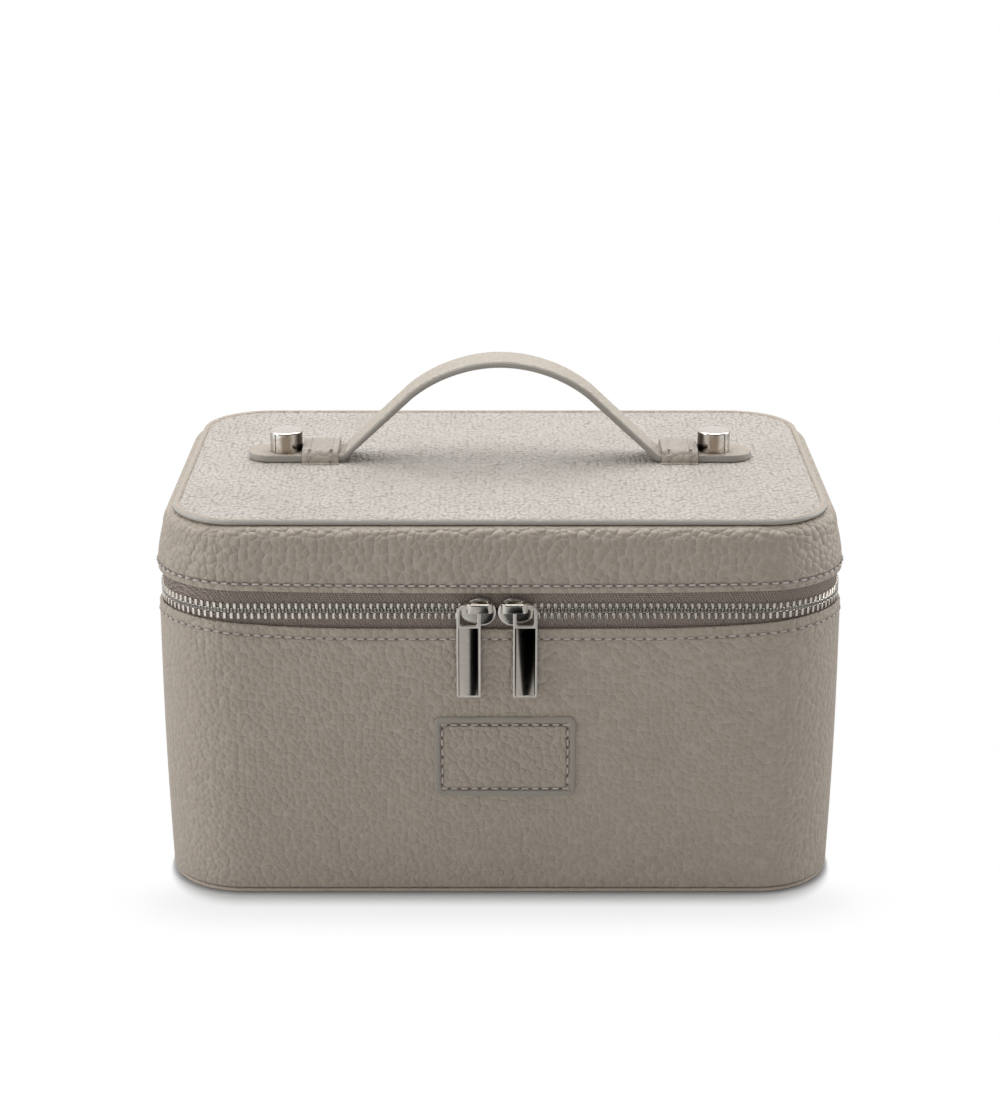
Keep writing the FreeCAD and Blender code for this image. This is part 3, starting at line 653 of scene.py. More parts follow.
def round_levels(height, rise, inset, reach, steps):
    """The levels of a sleeve whose section is an ellipse about a height and an inset."""
    angles = [number / steps * 2 * math.pi - math.pi / 2 for number in range(steps + 1)]
    return [(height + rise * math.sin(angle), inset - reach * math.cos(angle)) for angle in angles]


def closed_ring(name, levels):
    """A ring round the case whose section the levels walk once round."""
    piece = sleeve(name, case_outline, levels)
    open_ends(piece)
    choose(piece, "VERT", lambda co: True)
    bpy.ops.mesh.remove_doubles(threshold=0.02 * mm)
    face_outwards()
    return piece


def mark_edges(piece, rule):
    """Keeps on each point how much of a dyed edge, or of a pull's rim with its painted highlight, it
    is, by its place and the way it faces.
    """
    mark = piece.data.attributes.new("edge", "FLOAT", "POINT")
    mark.data.foreach_set("value", [rule(point.co, point.normal) for point in piece.data.vertices])


def strap_leather(name, cell, relief, rows=(), top=leather_colour):
    """Grained leather with smooth dyed edges and painted light: the top colour on faces that look up, a
    paler one on the rest; rows are how far to each side stitches run.
    """
    made = Finish(name)
    edge = made.edges(0.35, 0.6)
    pebble = grain(made, cell)
    fine = made.noise(0.7 * mm)
    # painted light: faces that look up take the top colour, the others the paler painted-light colour,
    # and the creases are painted paler, a painted highlight
    face = made.mix(made.facing()[2].step(0.2, 0.9), leather_painted_light, top)
    face = made.mix((1 - pebble) * 0.3, face, leather_painted_light)
    colour = made.mix(edge, face, made.mix(fine * 0.3, (165, 161, 153), (153, 149, 141)))
    height = (pebble + fine * 0.06) * (1 - edge) + edge * fine * 0.2
    across, along, up = made.axes()
    beat = ((along + up) / keeper_pitch).math("FRACT").near(0.5, 0.26)
    for row in rows:
        hole = beat * across.size().near(row, 0.5 * mm)
        height = height - across.size().near(row, mm) * 0.7 - hole * 0.8
        # the stitch holes are painted dark: painted shade
        colour = made.mix(hole * 0.85, colour, (72, 60, 54))
    roughness = (0.56 - pebble * 0.1) * (1 - edge) + edge * 0.4
    return made.surface(colour, roughness, height, relief, shine=0.7)


def faces_out(co, normal):
    """How squarely a point of the case faces away from its middle."""
    heading = case_outline.place(case_outline.distance(co.x, co.y))[1]
    return normal.x * math.sin(heading) - normal.y * math.cos(heading)


low, high = box("lid_piping")
welt_radius = (high.z - low.z) / 2
welt = closed_ring("lid_welt", round_levels((low.z + high.z) / 2, welt_radius,
                                            shoulder + welt_radius, welt_radius, 14))
mark_edges(welt, faces_out)
finish(welt, strap_leather("welt_leather", 1.9 * mm, 0.25 * mm), 80)
declare(welt, "lid_piping", "lid")

# The lid's top: a panel of the same leather over foam, full at its edges where it dips into the
# piped seam.
panel_foot, panel_top = (corner[2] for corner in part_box("lid_top_leather"))
panel_inset = 9.75 * mm
panel_cut = 9 * mm
panel_levels = [(panel_foot, panel_inset)]
for drop, inset in ((0.35, -0.15), (0.15, 0.15), (0.05, 0.6), (0, 1.6)):
    panel_levels.append((panel_top - drop * mm, panel_inset + inset * mm))
panel = sleeve("lid_top", case_outline, panel_levels)
for axis, half in (((1, 0, 0), case_half_x), ((0, 1, 0), case_half_y)):
    cuts = int((half - panel_inset) / panel_cut)
    for number in range(-cuts, cuts + 1):
        spot = tuple(number * panel_cut * part for part in axis)
        choose(panel, "FACE", lambda centre, normal: centre.z > panel_top - tiny)
        bpy.ops.mesh.bisect(plane_co=spot, plane_no=axis)
leave()
# the top's leather is painted paler and whiter than the rest, painted light from the lamp above, and
# its creases darker, painted shade
finish(panel, leather("top_leather", cell=2.0 * mm, relief=1.15 * mm, shine=1.0,
                      base=(186, 179, 172), crease_shading=(146, 136, 125)), 60)
declare(panel, "lid_top_leather", "lid")

# The zip's metal: two rows of nickel teeth crimped on the edges of the tapes. Each tooth has
# narrow legs and a wider head that locks between its neighbours.
chain_height = 122.4 * mm
chain_inset = 2.1 * mm
chain_width = 6.5 * mm
chain = case_outline.inset(chain_inset)
tooth_pitch = 2.7 * mm
tooth_width = 1.05 * mm
tooth_depth = 2.3 * mm
head_width = 1.24 * mm
head_start = 0.95 * mm
head_reach = 1.0 * mm
neck_rise = 0.25 * mm
nose_rise = 0.3 * mm
dimple_rim = 0.26 * mm
dimple_depth = 0.5 * mm
hinge_half = 95 * mm
first_tooth = hinge_half + 4.2 * mm
mouth_middle = -1.2 * mm
mouth_half = 7.1 * mm


def tooth(side):
    """One tooth: legs crimped on the tape, and a wider head with a round nose past the middle."""
    foot = side * chain_width / 2
    neck = side * head_start
    piece = add("cube", "tooth", (tooth_width, tooth_depth, abs(foot - neck)),
                (0, 0, (foot + neck) / 2), size=1)
    choose(piece, "FACE", lambda centre, normal: normal.z * side < -0.9)
    swell = head_width / tooth_width
    head_rise = head_start + head_reach - neck_rise - nose_rise
    for rise, width, depth in ((neck_rise, swell, 0.94), (head_rise, 1, 1), (nose_rise, 0.5, 0.7)):
        push(0, 0, -side * rise, (width, depth, 1))
    choose(piece, "FACE", lambda centre, normal: normal.y < -0.8 and abs(centre.z) < head_start
           and abs(centre.x) < tiny)
    bpy.ops.mesh.inset(thickness=dimple_rim)
    bpy.ops.transform.translate(value=(0, dimple_depth, 0))
    leave()
    round_off(piece, 0.2 * mm, 2)
    return piece


def tooth_places(shift):
    """A place for each tooth of a row, but none inside the sliders."""
    distance = first_tooth + shift
    while distance <= chain.length - first_tooth:
        point, heading = chain.place(distance)
        if point.y > 0 or abs(point.x - mouth_middle) > mouth_half:
            spot = Vector((point.x, point.y, chain_height))
            yield Matrix.Translation(spot) @ Matrix.Rotation(heading, 4, "Z")
        distance += tooth_pitch


made = Finish("zip_teeth_nickel")
# painted shade: the teeth are painted dark where their heads lock between each other
painted_interlock_shade = made.axes()[2].near(chain_height, 1.3 * mm) * 0.7
tooth_metal = made.surface(made.mix(painted_interlock_shade, (242, 237, 229), (96, 90, 84)), 0.22, metallic=1.0)
for name, side, shift, carrier in (("lower", -1, 0, "case_body"), ("upper", 1, tooth_pitch / 2, "lid")):
    row = copies(name + "_teeth", tooth(side), tooth_places(shift))
    finish(row, tooth_metal, 30)
    declare(row, name + "_zip_teeth", carrier)

# The zip's tapes: two bands of close polyester twill, each sewn behind a rim of the leather. Their
# shape is the frame's own.
ridge_pitch = 0.75 * mm
made = Finish("zip_tape_weave")
across, inward, up = made.axes()
along = (across + inward) / (1.15 * mm) + (up / ridge_pitch).math("FLOOR") * 0.37
dash = (along + made.noise(2.2 * mm) * 1.6).wave(1) * 0.5 + 0.5
ridge = (up * (2 * math.pi / ridge_pitch)).math("COSINE") * 0.5 + 0.5
weave = dash * 0.5 + ridge * 0.3 + made.noise(0.5 * mm) * 0.5
tape_colour = made.mix(weave.step(0.3, 1.0), (96, 85, 78), (156, 143, 134))
# painted shade: the tape is painted near black along the chain, in the gaps between the teeth's heads
tape_colour = made.mix(up.near(chain_height, 1.35 * mm) * 0.85, tape_colour, (30, 26, 24))
tape_weave = made.surface(tape_colour, 0.85, weave, 0.3 * mm)


def dress(material, *nodes):
    """Gives the frame's own pieces their finish."""
    for node in nodes:
        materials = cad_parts[node].data.materials
        materials.clear()
        materials.append(material)


dress(tape_weave, "lower_zip_tape", "upper_zip_tape")

# The tapes' inner edges: a bead woven into each tape along its edge, of the same polyester. It is
# what the legs of the teeth are crimped on.
bead_reach = 2.0 * mm
bead_half_height = 1.15 * mm
bead_half_depth = 0.65 * mm
for name, side, carrier in (("lower_bead", -1, "case_body"), ("upper_bead", 1, "lid")):
    bead = closed_ring(name, round_levels(chain_height + side * bead_reach, bead_half_height,
                                          chain_inset, bead_half_depth, 12))
    take_off(bead, lambda centre: centre.y > 0 and abs(centre.x) < hinge_half)
    choose_all()
    bpy.ops.mesh.fill_holes(sides=0)
    face_outwards()
    finish(bead, tape_weave, 50)
    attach(bead, carrier)

# The base: a plate covered in the same leather, its lower edge rolled round. The foot of the tub's
# leather is sewn to it all round.
dress(leather("base_leather", cell=3.3 * mm, relief=0.35 * mm, base=(174, 158, 144), fold=base_top),
      "base_panel")

# The patch on the front: two layers of leather with a raised rolled border, sewn on by a row of
# stitches inside the border. Its face is bare.
low, high = box("front_patch")
patch_middle = (low + high) / 2
patch_half_x = (high.x - low.x) / 2
patch_half_z = (high.z - low.z) / 2
patch_stitch_inset = 3.3 * mm
patch_stitch_height = 1.05 * mm
patch_border = 2.4 * mm
patch_row = Outline(patch_half_x - patch_stitch_inset, patch_half_z - patch_stitch_inset, 0.6 * mm)
patch_stitches = round(patch_row.length / aimed_pitch)
patch_levels = [
    (0, 0), (0.8, 0), (1.1, 0.15), (1.3, 0.4), (1.4, 0.9), (1.4, 1.9),
    (1.28, 2.3), (1.0, 2.6), (0.95, 3.1), (1.0, 3.7), (1.15, 4.4), (1.2, 5.4),
]


def patch_depth(co):
    """How far a point is from the patch's edge."""
    return min(patch_half_x - abs(co.x), patch_half_z - abs(co.y))


patch = sleeve("patch", Outline(patch_half_x, patch_half_z, 3 * mm),
               [(height * mm, inset * mm) for height, inset in patch_levels])
lay_round(patch, patch_row, patch_depth)
mark_edges(patch, lambda co, normal: 1 if patch_depth(co) < patch_border else 0)
upright = Matrix.Translation((patch_middle.x, high.y, patch_middle.z))
upright = upright @ Matrix.Rotation(math.pi / 2, 4, "X")
patch.data.transform(upright)
finish(patch, leather("patch_leather", cell=2.8 * mm, relief=0.85 * mm, dyed_edge=(141, 134, 124),
                      seam=(patch_stitch_inset, patch_row.length / patch_stitches)), 50)
declare(patch, "front_patch", "case_body")

raised = upright @ Matrix.Translation((0, 0, patch_stitch_height))
sew("patch_seam", [raised @ place for place in seam_places(patch_row, patch_stitches)], "case_body")

# The hinge: a strip of the leather outside and one of the lining inside, across the back between the
# two rims.
hinge_hollow = 0.9 * mm


def hinge_strip(name, node, material):
    """A strip of fine cells across the back between the two rims, hollowed a little inward."""
    low, high = box(node)
    piece = add("grid", name, (high.x - low.x, high.z - low.z, 1),
                ((low.x + high.x) / 2, high.y, (low.z + high.z) / 2),
                x_subdivisions=44, y_subdivisions=14, size=1, rotation=(-math.pi / 2, 0, 0))
    modify(piece, "SOLIDIFY", thickness=high.y - low.y, offset=-1)

    def hollow(co):
        share = min(max((co.z - low.z) / (high.z - low.z), 0), 1)
        return Vector((0, -hinge_hollow * math.sin(math.pi * share), 0))

    soften(piece, hollow)
    finish(piece, material, 50)
    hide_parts(node)
    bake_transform(piece)
    return piece


made = Finish("lining_cloth")
lining_thread = 0.9 * mm
across, inward, up = made.axes()
weave = (across + inward).wave(lining_thread) * (up + inward * 0.5).wave(lining_thread) * 0.5 + 0.5
cloth_colour = made.mix(weave * 0.6 + made.noise(0.6 * mm) * 0.4, (128, 119, 111), (148, 139, 130))
lining_cloth = made.surface(cloth_colour, 0.85, weave, 0.1 * mm)
hinge_grain = leather("hinge_grain", cell=2.8 * mm, relief=0.35 * mm)
hinge_outside = hinge_strip("hinge_outside", "hinge_leather", hinge_grain)
hinge_inside = hinge_strip("hinge_inside", "hinge_lining", lining_cloth)

# The linings: woven cloth glued over the boards and drawn up to both rims. The floor's lies over
# thin wadding, and the lid's hangs a little slack between its edges.
lining_thickness = 0.7 * mm
hood_roll = 4 * mm
low, high = box("case_lining")
lining_gap = case_half_x - high.x
tray = tapered_tube("case_lining_cloth", tub_foot.inset(lining_gap), low.z,
                    case_outline.inset(lining_gap), high.z, 11)
choose(tray, "EDGE", lambda a, b: max(a.z, b.z) < low.z + tiny)
bpy.ops.mesh.edge_face_add()
for inset, rise in ((2.0, 0.25), (3.5, 0.3), (5.0, 0.15)):
    bpy.ops.mesh.inset(thickness=inset * mm, depth=0)
    bpy.ops.transform.translate(value=(0, 0, rise * mm))
face_outwards()
low, high = box("lid_lining")
hood_levels = [(low.z, lining_gap)]
hood_levels += roll(high.z - hood_roll, lining_gap, hood_roll, hood_roll, 7)
for inset, sag in ((4.0, 0.15), (10.0, 0.5), (20.0, 0.8), (36.0, 1.0)):
    hood_levels.append((high.z - sag * mm, lining_gap + hood_roll + inset * mm))
hood = sleeve("lid_lining_cloth", case_outline, hood_levels)
take_off(hood, lambda centre: centre.z < low.z + tiny)
for piece, node, carrier in ((tray, "case_lining", "case_body"), (hood, "lid_lining", "lid")):
    thicken(piece, lining_thickness)
    finish(piece, lining_cloth, 50)
    declare(piece, node, carrier)

# What stiffens the case: edges of smooth leather turned over both rims, grey boards glued between
# the leather and the lining, and the foam under the lid's top.
made = Finish("turned_leather")
fine = made.noise(0.8 * mm)
turned_colour = made.mix(made.noise(14 * mm, 3.0).step(0.35, 0.65), (146, 138, 128), (134, 126, 117))
dress(made.surface(turned_colour, 0.42 + fine * 0.12, fine, 0.05 * mm),
      "case_turned_edge", "lid_turned_edge")
made = Finish("grey_board")
fibre = made.noise(1.5 * mm, 4.0)
board = made.surface(made.mix(fibre, (176, 166, 148), (150, 140, 122)), 0.9, fibre, 0.05 * mm)
dress(board, "case_wall_board", "base_board", "lid_top_board")
made = Finish("padding")
cells = made.node("TexVoronoi", {}, {"Vector": made.place(), "Scale": 1 / (0.8 * mm)}, "Distance")
foam_colour = made.mix(cells, (222, 219, 210), (196, 192, 182))
dress(made.surface(foam_colour, 0.95, cells, 0.2 * mm), "lid_top_foam")

# The lid's side board: a strip of the same grey board bent round the lid behind its band. It leans
# in with the band and ends under its shoulder.
strip_gap = 0.1 * mm
strip_thickness = 1.6 * mm
strip_least = 0.3 * mm
strip_inner = 3.3 * mm
strip_steps = 6
low, high = box("lid_side_board")
strip_outer = []
for number in range(strip_steps + 1):
    height = low.z + (high.z - low.z) * number / strip_steps
    share = max((height - lid_rim) / (upright_top - lid_rim), 0)
    strip_outer.append((height, leather_thickness + strip_gap + lean_inset(share)))
strip_within = [(height, max(min(inset + strip_thickness, strip_inner), inset + strip_least))
                for height, inset in reversed(strip_outer)]
strip = closed_ring("lid_side_strip", strip_outer + strip_within + strip_outer[:1])
strip.data.materials.append(board)
declare(strip, "lid_side_board", "lid")

# The two zip sliders, cast in zinc and nickel plated: a front and a back plate with turned-in
# flanges, open between them for the teeth, and an arched bridge for the pull.
slider_length = 14.2 * mm
nose_radius = 5.75 * mm
tail_half = 4.4 * mm
plate_out = 2.65 * mm
plate_in = 1.45 * mm
flange_in = 0.6 * mm
crown_rise = 0.4 * mm
flange_share = 0.86
bridge_start = 1.2 * mm
bridge_end = 11.9 * mm
bridge_rise = 4.1 * mm
bridge_low = 0.7 * mm
bridge_high = 4.5 * mm
bridge_foot = 2 * mm
bridge_bar = 1.4 * mm
bridge_sunk = 0.3 * mm
bridge_bend = 2.3 * mm
bridge_edge = 0.9 * mm
mouth_gap = 0.3 * mm
channel_half = 3.6 * mm
chain_front = -(case_half_y - chain_inset)
sides = (("left", -1), ("right", 1))


def nickel(name, colour, roughness):
    """Polished nickel plate with a faint unevenness."""
    made = Finish(name)
    fine = made.noise(1.2 * mm, 3.0)
    tint = made.mix(fine * 0.35, colour, (178, 170, 160))
    return made.surface(tint, roughness + fine * 0.06, fine, 0.01 * mm, metallic=1.0)


def slider_plate(side):
    """One plate about the chain's middle, its mouth at x = 0, on the front (-1) or the back."""
    piece = add("circle", "plate", location=(nose_radius, side * flange_in, 0), vertices=48,
                radius=nose_radius, fill_type="NGON", rotation=(math.pi / 2, 0, 0))

    def draw_tail(co):
        past = max(co.x - nose_radius, 0)
        fullness = (1 - (past / nose_radius) ** 4) ** 0.5 if past < nose_radius else 0
        half = (nose_radius + (tail_half - nose_radius) * ease(past / nose_radius)) * fullness
        rise = math.copysign(half, co.z) - co.z if past else 0
        return Vector((past * ((slider_length - nose_radius) / nose_radius - 1), 0, rise))

    soften(piece, draw_tail)
    choose_all()
    push(0, side * (plate_out - flange_in - crown_rise), 0)
    middle = (slider_length / 2, 0, 0)
    for shrink, share in ((0.985, 0.4), (0.96, 0.3), (0.9, 0.2), (0.7, 0.1)):
        push(0, side * share * crown_rise, 0, (shrink, 1, shrink), center_override=middle)
    choose(piece, "FACE", lambda centre, normal: abs(centre.y - side * flange_in) < 0.1 * tiny)
    push(0, 0, 0, (flange_share, 1, flange_share), center_override=middle)
    push(0, side * (plate_in - flange_in), 0)
    face_outwards()
    return piece


def block(name, low, high):
    """A block between two corners."""
    low, high = Vector(low), Vector(high)
    return add("cube", name, high - low, (low + high) / 2, size=1)


def round_chosen(piece, width, segments, test):
    """Rounds the edges of a piece that pass a test."""
    choose(piece, "EDGE", test)
    bpy.ops.mesh.bevel(offset=width, segments=segments)
    leave()


def carve(piece, tool):
    """Takes a tool's volume out of a piece, and the tool away."""
    modify(piece, "BOOLEAN", operation="DIFFERENCE", object=tool, solver="EXACT")
    bpy.data.objects.remove(tool)


def bridge():
    """The arch that the pull hangs from: two feet on the front plate and a rounded bar."""
    front = -plate_out + bridge_sunk
    crest = -plate_out - bridge_rise
    piece = block("bridge", (bridge_start, crest, bridge_low), (bridge_end, front, bridge_high))
    round_chosen(piece, bridge_bend, 8,
                 lambda a, b: abs(a.z - b.z) > mm and max(a.y, b.y) < crest + tiny)
    window = block("window", (bridge_start + bridge_foot, crest + bridge_bar, bridge_low - mm),
                   (bridge_end - bridge_foot, front + mm, bridge_high + mm))
    round_chosen(window, bridge_edge, 5,
                 lambda a, b: abs(a.z - b.z) > mm and max(a.y, b.y) < crest + 2 * mm)
    carve(piece, window)
    round_chosen(piece, bridge_edge, 4,
                 lambda a, b: min(a.z, b.z) > bridge_high - tiny and max(a.y, b.y) < crest + tiny)
    round_off(piece, 0.3 * mm, 2, 50)
    return piece


slider_metal = nickel("slider_nickel", (234, 229, 221), 0.11)
for name, flip in sides:
    slider = merge(name + "_zip_slider", slider_plate(-1), slider_plate(1), bridge())
    carve(slider, block("channel", (-mm, -plate_in, -channel_half),
                        (slider_length + mm, plate_in, channel_half)))
    spot = Matrix.Translation((mouth_middle + flip * mouth_gap, chain_front, chain_height))
    slider.data.transform(spot @ Matrix.Diagonal((flip, 1, 1, 1)))
    if flip < 0:
        slider.data.flip_normals()
    finish(slider, slider_metal, 32)
    declare(slider, name + "_slider", name + "_slider_body")

# The two pulls: each one casting, a ring above and a bar below with a raised rim round a bare
# sunk face.
ring_bar = 1.3 * mm
ring_drop = 5.1 * mm
field_drop = 5.9 * mm
front_depth = 0.55 * mm
back_depth = -0.4 * mm
rim_width = 0.65 * mm
rim_reach = 0.25 * mm
field_swell = 0.16 * mm
field_half = 4.15 * mm
pull_shoulder = 3.0 * mm
pull_corner = 0.7 * mm
made = Finish("pull_nickel")
fine = made.noise(1.2 * mm, 3.0)
rim = made.edges()
# painted highlight: the rim is painted much paler than the rest of the metal
pull_colour_and_painted_highlight = made.mix(rim, made.mix(fine * 0.35, (216, 209, 200), (178, 168, 156)), (252, 247, 240))
pull_metal = made.surface(pull_colour_and_painted_highlight, 0.06 + fine * 0.05 + rim * 0.36, metallic=1.0)


def field_rule(co, middle_x, face, depth):
    """The sunk face swells a little along its middle, so it mirrors a wide strip of the room."""
    if (co.y - face) * depth < 0:
        return Vector((0, 0, 0))
    swell = field_swell * (1 - ((co.x - middle_x) / field_half) ** 2)
    return Vector((0, -math.copysign(swell, depth), 0))


def through(a, b):
    """Whether an edge runs from front to back."""
    return abs(a.y - b.y) > mm


for name in ("left", "right"):
    low, high = box(name + "_pull")
    middle = (low + high) / 2
    pull = block(name + "_zip_pull", low, high)
    round_chosen(pull, pull_shoulder, 8, lambda a, b: through(a, b) and min(a.z, b.z) > middle.z)
    round_chosen(pull, pull_corner, 4, lambda a, b: through(a, b) and max(a.z, b.z) < low.z + mm)
    window = block("window", (low.x + ring_bar, low.y - mm, chain_height - ring_drop),
                   (high.x - ring_bar, high.y + mm, high.z - ring_bar))
    round_chosen(window, ring_bar, 5, through)
    carve(pull, window)
    for face, depth in ((low.y, front_depth), (high.y, back_depth)):
        field = block("field", (low.x + rim_width, face - abs(depth), low.z + rim_width),
                      (high.x - rim_width, face + abs(depth), chain_height - field_drop))
        choose(field, "EDGE", lambda a, b: abs(a.x - b.x) > mm)
        bpy.ops.mesh.subdivide(number_cuts=11)
        leave()
        soften(field, lambda co: field_rule(co, middle.x, face, depth))
        carve(pull, field)
    round_off(pull, 0.18 * mm, 3, 40)
    # marks the rim where the highlight is painted
    mark_edges(pull, lambda co, normal: 1 if min(co.y - low.y, high.y - co.y) < rim_reach else 0)
    finish(pull, pull_metal, 35)
    declare(pull, name + "_pull", name + "_pull_body")

# The handle: one strap of two leather layers with dyed and polished edges. Its middle arches up
# between the keepers, and its round ends lie flat beyond them.
low, high = box("left_strap_end")
strap_low = low.z
strap_thickness = high.z - low.z
strap_middle = strap_low + strap_thickness / 2
strap_half_width = 9.5 * mm
strap_half = 69.1 * mm
handle_back = 8 * mm
keeper_reach = 68.5 * mm
knee_radius = 6.6 * mm
crown_radius = 53.4 * mm
slope = math.radians(42)
arch_spread = 2.8 * mm
tip_reach = 107.3 * mm
knee_x = keeper_reach - knee_radius * math.sin(slope)
knee_z = strap_middle + knee_radius * (1 - math.cos(slope))
crest_x = crown_radius * math.sin(slope)
crest_z = knee_z + (knee_x - crest_x) * math.tan(slope)


def turn_strap(steps, angle, x, z, up):
    """Carries the open end of the strap round a centre, up about it or down."""
    bpy.ops.mesh.spin(steps=steps, angle=angle, center=(x, handle_back, z), axis=(0, up, 0))


def spread_rule(co):
    """The strap's flanks stand a little outside a true arc, as a stiff strap springs."""
    share = min(abs(co.x) / strap_half, 1)
    return Vector((math.copysign(arch_spread * math.sin(math.pi * share ** 1.8), co.x), 0, 0))


arch = add("plane", "handle_arch", (strap_thickness, 2 * strap_half_width, 1),
           (-strap_half, handle_back, strap_middle), size=1, rotation=(0, math.pi / 2, 0))
choose_all()
round_corners(1.15 * mm, 5)
push(strap_half - keeper_reach, 0, 0)
turn_strap(10, slope, -keeper_reach, strap_middle + knee_radius, 1)
push(knee_x - crest_x, 0, crest_z - knee_z)
turn_strap(40, 2 * slope, 0, crest_z - crown_radius * math.cos(slope), -1)
push(knee_x - crest_x, 0, knee_z - crest_z)
turn_strap(10, slope, keeper_reach, strap_middle + knee_radius, 1)
push(strap_half - keeper_reach, 0, 0)
choose_all()
bpy.ops.mesh.remove_doubles(threshold=0.1 * tiny)
face_outwards()
soften(arch, spread_rule)
mark_edges(arch, lambda co, normal: abs(normal.y))
# its upward faces are painted a little paler than the leather: painted light
finish(arch, strap_leather("arch_leather", 2.2 * mm, 0.34 * mm, top=(159, 149, 137)), 60)
declare(arch, "handle_strap", "lid")
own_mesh(arch)

tab_leather = strap_leather("strap_leather", 2.2 * mm, 0.5 * mm)
for name, side in sides:
    tab = add("plane", name + "_handle_tab", (tip_reach - strap_half, 2 * strap_half_width, 1),
              (side * (strap_half + tip_reach) / 2, handle_back, strap_low), size=1)
    choose(tab, "VERT", lambda co: abs(co.x) > tip_reach - mm)
    round_corners(strap_half_width - 0.1 * tiny, 14)
    choose_all()
    push(0, 0, strap_thickness)
    face_outwards()
    round_off(tab, 1.1 * mm, 5, 50)
    mark_edges(tab, lambda co, normal: math.sqrt(max(1 - normal.z ** 2, 0)))
    finish(tab, tab_leather, 50)
    declare(tab, name + "_strap_end", name + "_handle_end")

# The keepers: leather loops over the strap, edge-dyed, with a row of stitches along each side and
# a foot turned out where each is sewn to the lid.
row_inset = 3.1 * mm
keeper_slack = 1.2 * mm
keeper_wall = 1.5 * mm
keeper_shoulder = 4.3 * mm
keeper_row = 6
flap_inside = 0.4 * mm
flap_outside = 1.3 * mm
flap_margin = 0.2 * mm
flap_height = 0.55 * mm
low, high = box("right_keeper")
# its upward faces are painted darker than the leather: painted shade
keeper_leather = strap_leather("keeper_leather", 2.6 * mm, 0.3 * mm, top=(143, 134, 123),
                               rows=(low.x + row_inset, high.x - row_inset))


def keeper_stitches(low, high):
    """A place for each stitch on a keeper: two rows over it and one on each of its sides."""
    for row in (low.x + row_inset, high.x - row_inset):
        for number in range(keeper_row):
            across = low.y + (high.y - low.y) * (number + 0.7) / (keeper_row + 0.4)
            spot = (row, across, high.z - 0.02 * mm)
            yield Matrix.Translation(spot) @ Matrix.Rotation(math.pi / 2, 4, "Z")
        for face in (low.y, high.y):
            spot = (row, face, (low.z + high.z) / 2 - 0.3 * mm)
            yield Matrix.Translation(spot) @ Matrix.Rotation(math.pi / 2, 4, "Y")


for name in ("left", "right"):
    low, high = box(name + "_keeper")
    high.z += keeper_slack
    loop = block(name + "_handle_keeper", low, high)
    round_chosen(loop, keeper_shoulder, 10,
                 lambda a, b: abs(a.x - b.x) > mm and min(a.z, b.z) > high.z - mm)
    carve(loop, block("tunnel", (low.x - mm, low.y + keeper_wall, low.z - mm),
                      (high.x + mm, high.y - keeper_wall, high.z - keeper_wall)))
    round_off(loop, 0.4 * mm, 3, 50)
    flaps = []
    for edge, out in ((low.y, -1), (high.y, 1)):
        near, far = sorted((edge - out * flap_inside, edge + out * flap_outside))
        flaps.append(block("flap", (low.x - flap_margin, near, low.z - tiny),
                           (high.x + flap_margin, far, low.z + flap_height)))
        modify(flaps[-1], "BEVEL", width=0.2 * mm, segments=2)
    loop = merge(name + "_handle_keeper", loop, *flaps)
    mark_edges(loop, lambda co, normal: abs(normal.x))
    finish(loop, keeper_leather)
    declare(loop, name + "_keeper", "lid")

    sew(name + "_keeper_seam", keeper_stitches(low, high), "lid")

# The studs: turned metal caps, nickel plated, screwed up through the strap's ends. Their tops are
# bare.
stud_steps = ((6.45, 0.0), (6.8, 0.15), (6.9, 0.5), (6.9, 8.15), (6.85, 8.4), (6.72, 8.62),
              (6.5, 8.75), (6.35, 8.8), (6.2, 8.85), (5.8, 8.95), (5.0, 9.0))


def stud_nickel(name, side):
    """Nickel with reflections painted on its turned wall: dark strips, the widest towards the handle,
    and pale bands between them.
    """
    made = Finish(name)
    fine = made.noise(1.2 * mm, 3.0)
    across, _, up = made.facing()
    outward = across * side
    wall = 1 - up.size().step(0.2, 0.5)
    dark = outward.near(0.62, 0.08) * 0.8 + (outward * -1).step(0.42, 0.8) * 0.95
    dark = dark + outward.step(0.66, 0.98) * 0.55
    middle = (1 - outward.step(0.1, 0.4)) * outward.step(-0.6, -0.2)
    shade = made.mix(middle * wall, (250, 246, 240), (178, 165, 150))
    colour = made.mix(dark.math("MINIMUM", 1) * wall, shade, (58, 44, 34))
    colour = made.mix(wall, (206, 198, 190), colour)
    return made.surface(colour, 0.06 + fine * 0.06, metallic=1.0)


screw_metal = nickel("screw_nickel", (205, 201, 194), 0.2)
dress(screw_metal, "zip_end_stops", "left_stud_screw", "right_stud_screw")
for name, side in sides:
    low, high = box(name + "_stud")
    x, y, _ = (low + high) / 2
    radius, height = stud_steps[0]
    stud = add("circle", name + "_handle_stud", location=(x, y, low.z), vertices=64,
               radius=radius * mm, fill_type="NGON")
    choose_all()
    for next_radius, next_height in stud_steps[1:]:
        grow = next_radius / radius
        push(0, 0, (next_height - height) * mm, (grow, grow, 1),
             center_override=(x, y, low.z + next_height * mm))
        radius, height = next_radius, next_height
    face_outwards()
    finish(stud, stud_nickel(name + "_stud_nickel", side), 28)
    declare(stud, name + "_stud", name + "_handle_end")

# The studio: a white sweep under and behind the case, a broad light above, and weaker ones to the
# sides and from the front.
camera_data = bpy.data.cameras.new("camera")
camera_data.sensor_width = 36
camera_data.lens = 81.8


def stand(data, place, turn):
    """Puts a camera or a lamp at a place, turned."""
    made = bpy.data.objects.new(data.name, data)
    bpy.context.collection.objects.link(made)
    made.location = place
    made.rotation_euler = turn
    return made


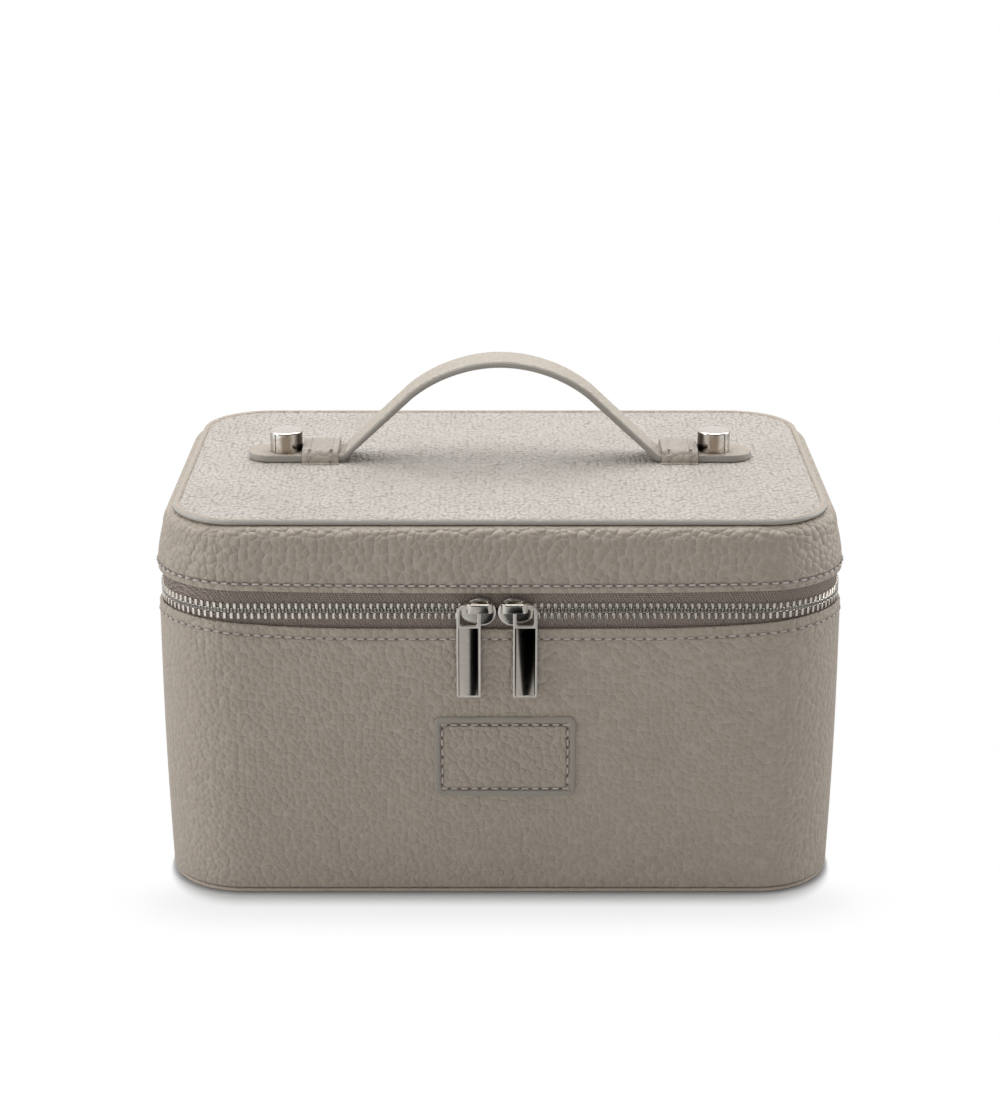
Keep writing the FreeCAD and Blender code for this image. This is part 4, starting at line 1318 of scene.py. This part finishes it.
bpy.context.scene.camera = stand(camera_data, (0, -1.02087, 0.45528), (math.radians(71.73), 0, 0))
for name, place, width, depth, power in (
    ("top_light", (0, 0.3, 1.25), 1.8, 1.4, 23),
    ("left_light", (-1.2, -0.3, 0.5), 0.8, 0.8, 6),
    ("right_light", (1.25, 0.3, 0.5), 0.8, 0.8, 5.0),
    ("front_light", (-0.5, -1.5, 0.9), 0.8, 0.6, 0.8),
):
    lamp = bpy.data.lights.new(name, "AREA")
    lamp.shape = "RECTANGLE"
    lamp.size = width
    lamp.size_y = depth
    lamp.energy = power
    aim = Vector((0, 0, 0.1)) - Vector(place)
    stand(lamp, place, aim.to_track_quat("-Z", "Y").to_euler())

# how wide the painted contact shadow is, how far the shade reaches at the sides and the front, and
# where the painted front shade fades
touch_width = 3.2 * mm
side_shadow = 1.5 * mm
front_shadow = 13.5 * mm
fade_start, fade_end = 9.5 * mm, 44.5 * mm
card_left, card_right, card_far = -14 * mm, 90 * mm, -200 * mm
card_blur = 40 * mm
white = (1, 1, 1, 1)
floor = add("plane", "studio_floor", size=12)
made = Finish("studio_white")
seen = made.node("LightPath", {}, {}, "Is Camera Ray")
gloss = made.node("LightPath", {}, {}, "Is Glossy Ray")
glow = made.node("Emission", {}, {"Color": white, "Strength": 1.0})
x, y, _ = made.axes()
# how far past the case's foot a place is, and how much of that is to the front or the back
past_x = (x.size() - tub_foot.flat_x).math("MAXIMUM", 0)
past_y = (y.size() - tub_foot.flat_y).math("MAXIMUM", 0)
away = (past_x * past_x + past_y * past_y).math("SQRT")
gap = away - foot_corner
turned = past_y / away
painted_contact_shadow = (1 - gap.step(0, touch_width)) * turned.step(0.1, 0.6)
# for the camera the paper is painted darker than the lamps see it, painted shade round the case, with a
# painted contact shadow along the front foot
grey = 0.9 * (1 - seen) + (0.52 - painted_contact_shadow * 0.17) * seen
paper = made.node("BsdfDiffuse", {}, {"Color": grey})
# painted shade: a faint band in front of the case shows less of the white glow
painted_front_shade = (1 - gap.step(fade_start, fade_end)) * (y * -1).step(0.06, 0.1) * turned.step(0.4, 0.95)
clear = (gap / (turned * turned * front_shadow + side_shadow)).step(0, 1) * (1 - painted_front_shade * 0.25)
# what polished metal mirrors of the floor: white with a dark card in front of the case
card = x.step(card_left, card_left + 4 * mm) * (1 - x.step(card_right - card_blur, card_right))
card = card * (1 - y.step(card_far - card_blur, card_far))
card = (1 - card) * (0.75 - x.step(-0.2, 0) * 0.25)
mirrored = made.node("Emission", {}, {"Color": white, "Strength": card})
sheet = made.node("MixShader", {}, {0: seen * clear, 1: paper, 2: glow})
shader = made.node("MixShader", {}, {0: gloss, 1: sheet, 2: mirrored})
floor.data.materials.append(made.show(shader))

world = bpy.data.worlds.new("studio_air")
bpy.context.scene.world = world
air = Finish(world)
seen, passed, gloss = (air.node("LightPath", {}, {}, kind) for kind in
                       ("Is Camera Ray", "Is Transmission Ray", "Is Glossy Ray"))
_, back, rise = air.axes(air.node("TexCoord", {}, {}, "Generated"))
mirrored = 0.1 + back.step(-0.1, 0.3) * 0.92 + rise.step(0.5, 0.9) * 0.12
plain = seen.math("MAXIMUM", passed)
level = plain + (1 - plain) * (gloss * mirrored + (1 - gloss) * 0.33)
shade = air.node("Background", {}, {"Color": white, "Strength": level})
air.show(shade, "World")

bpy.context.scene.view_settings.view_transform = "Standard"
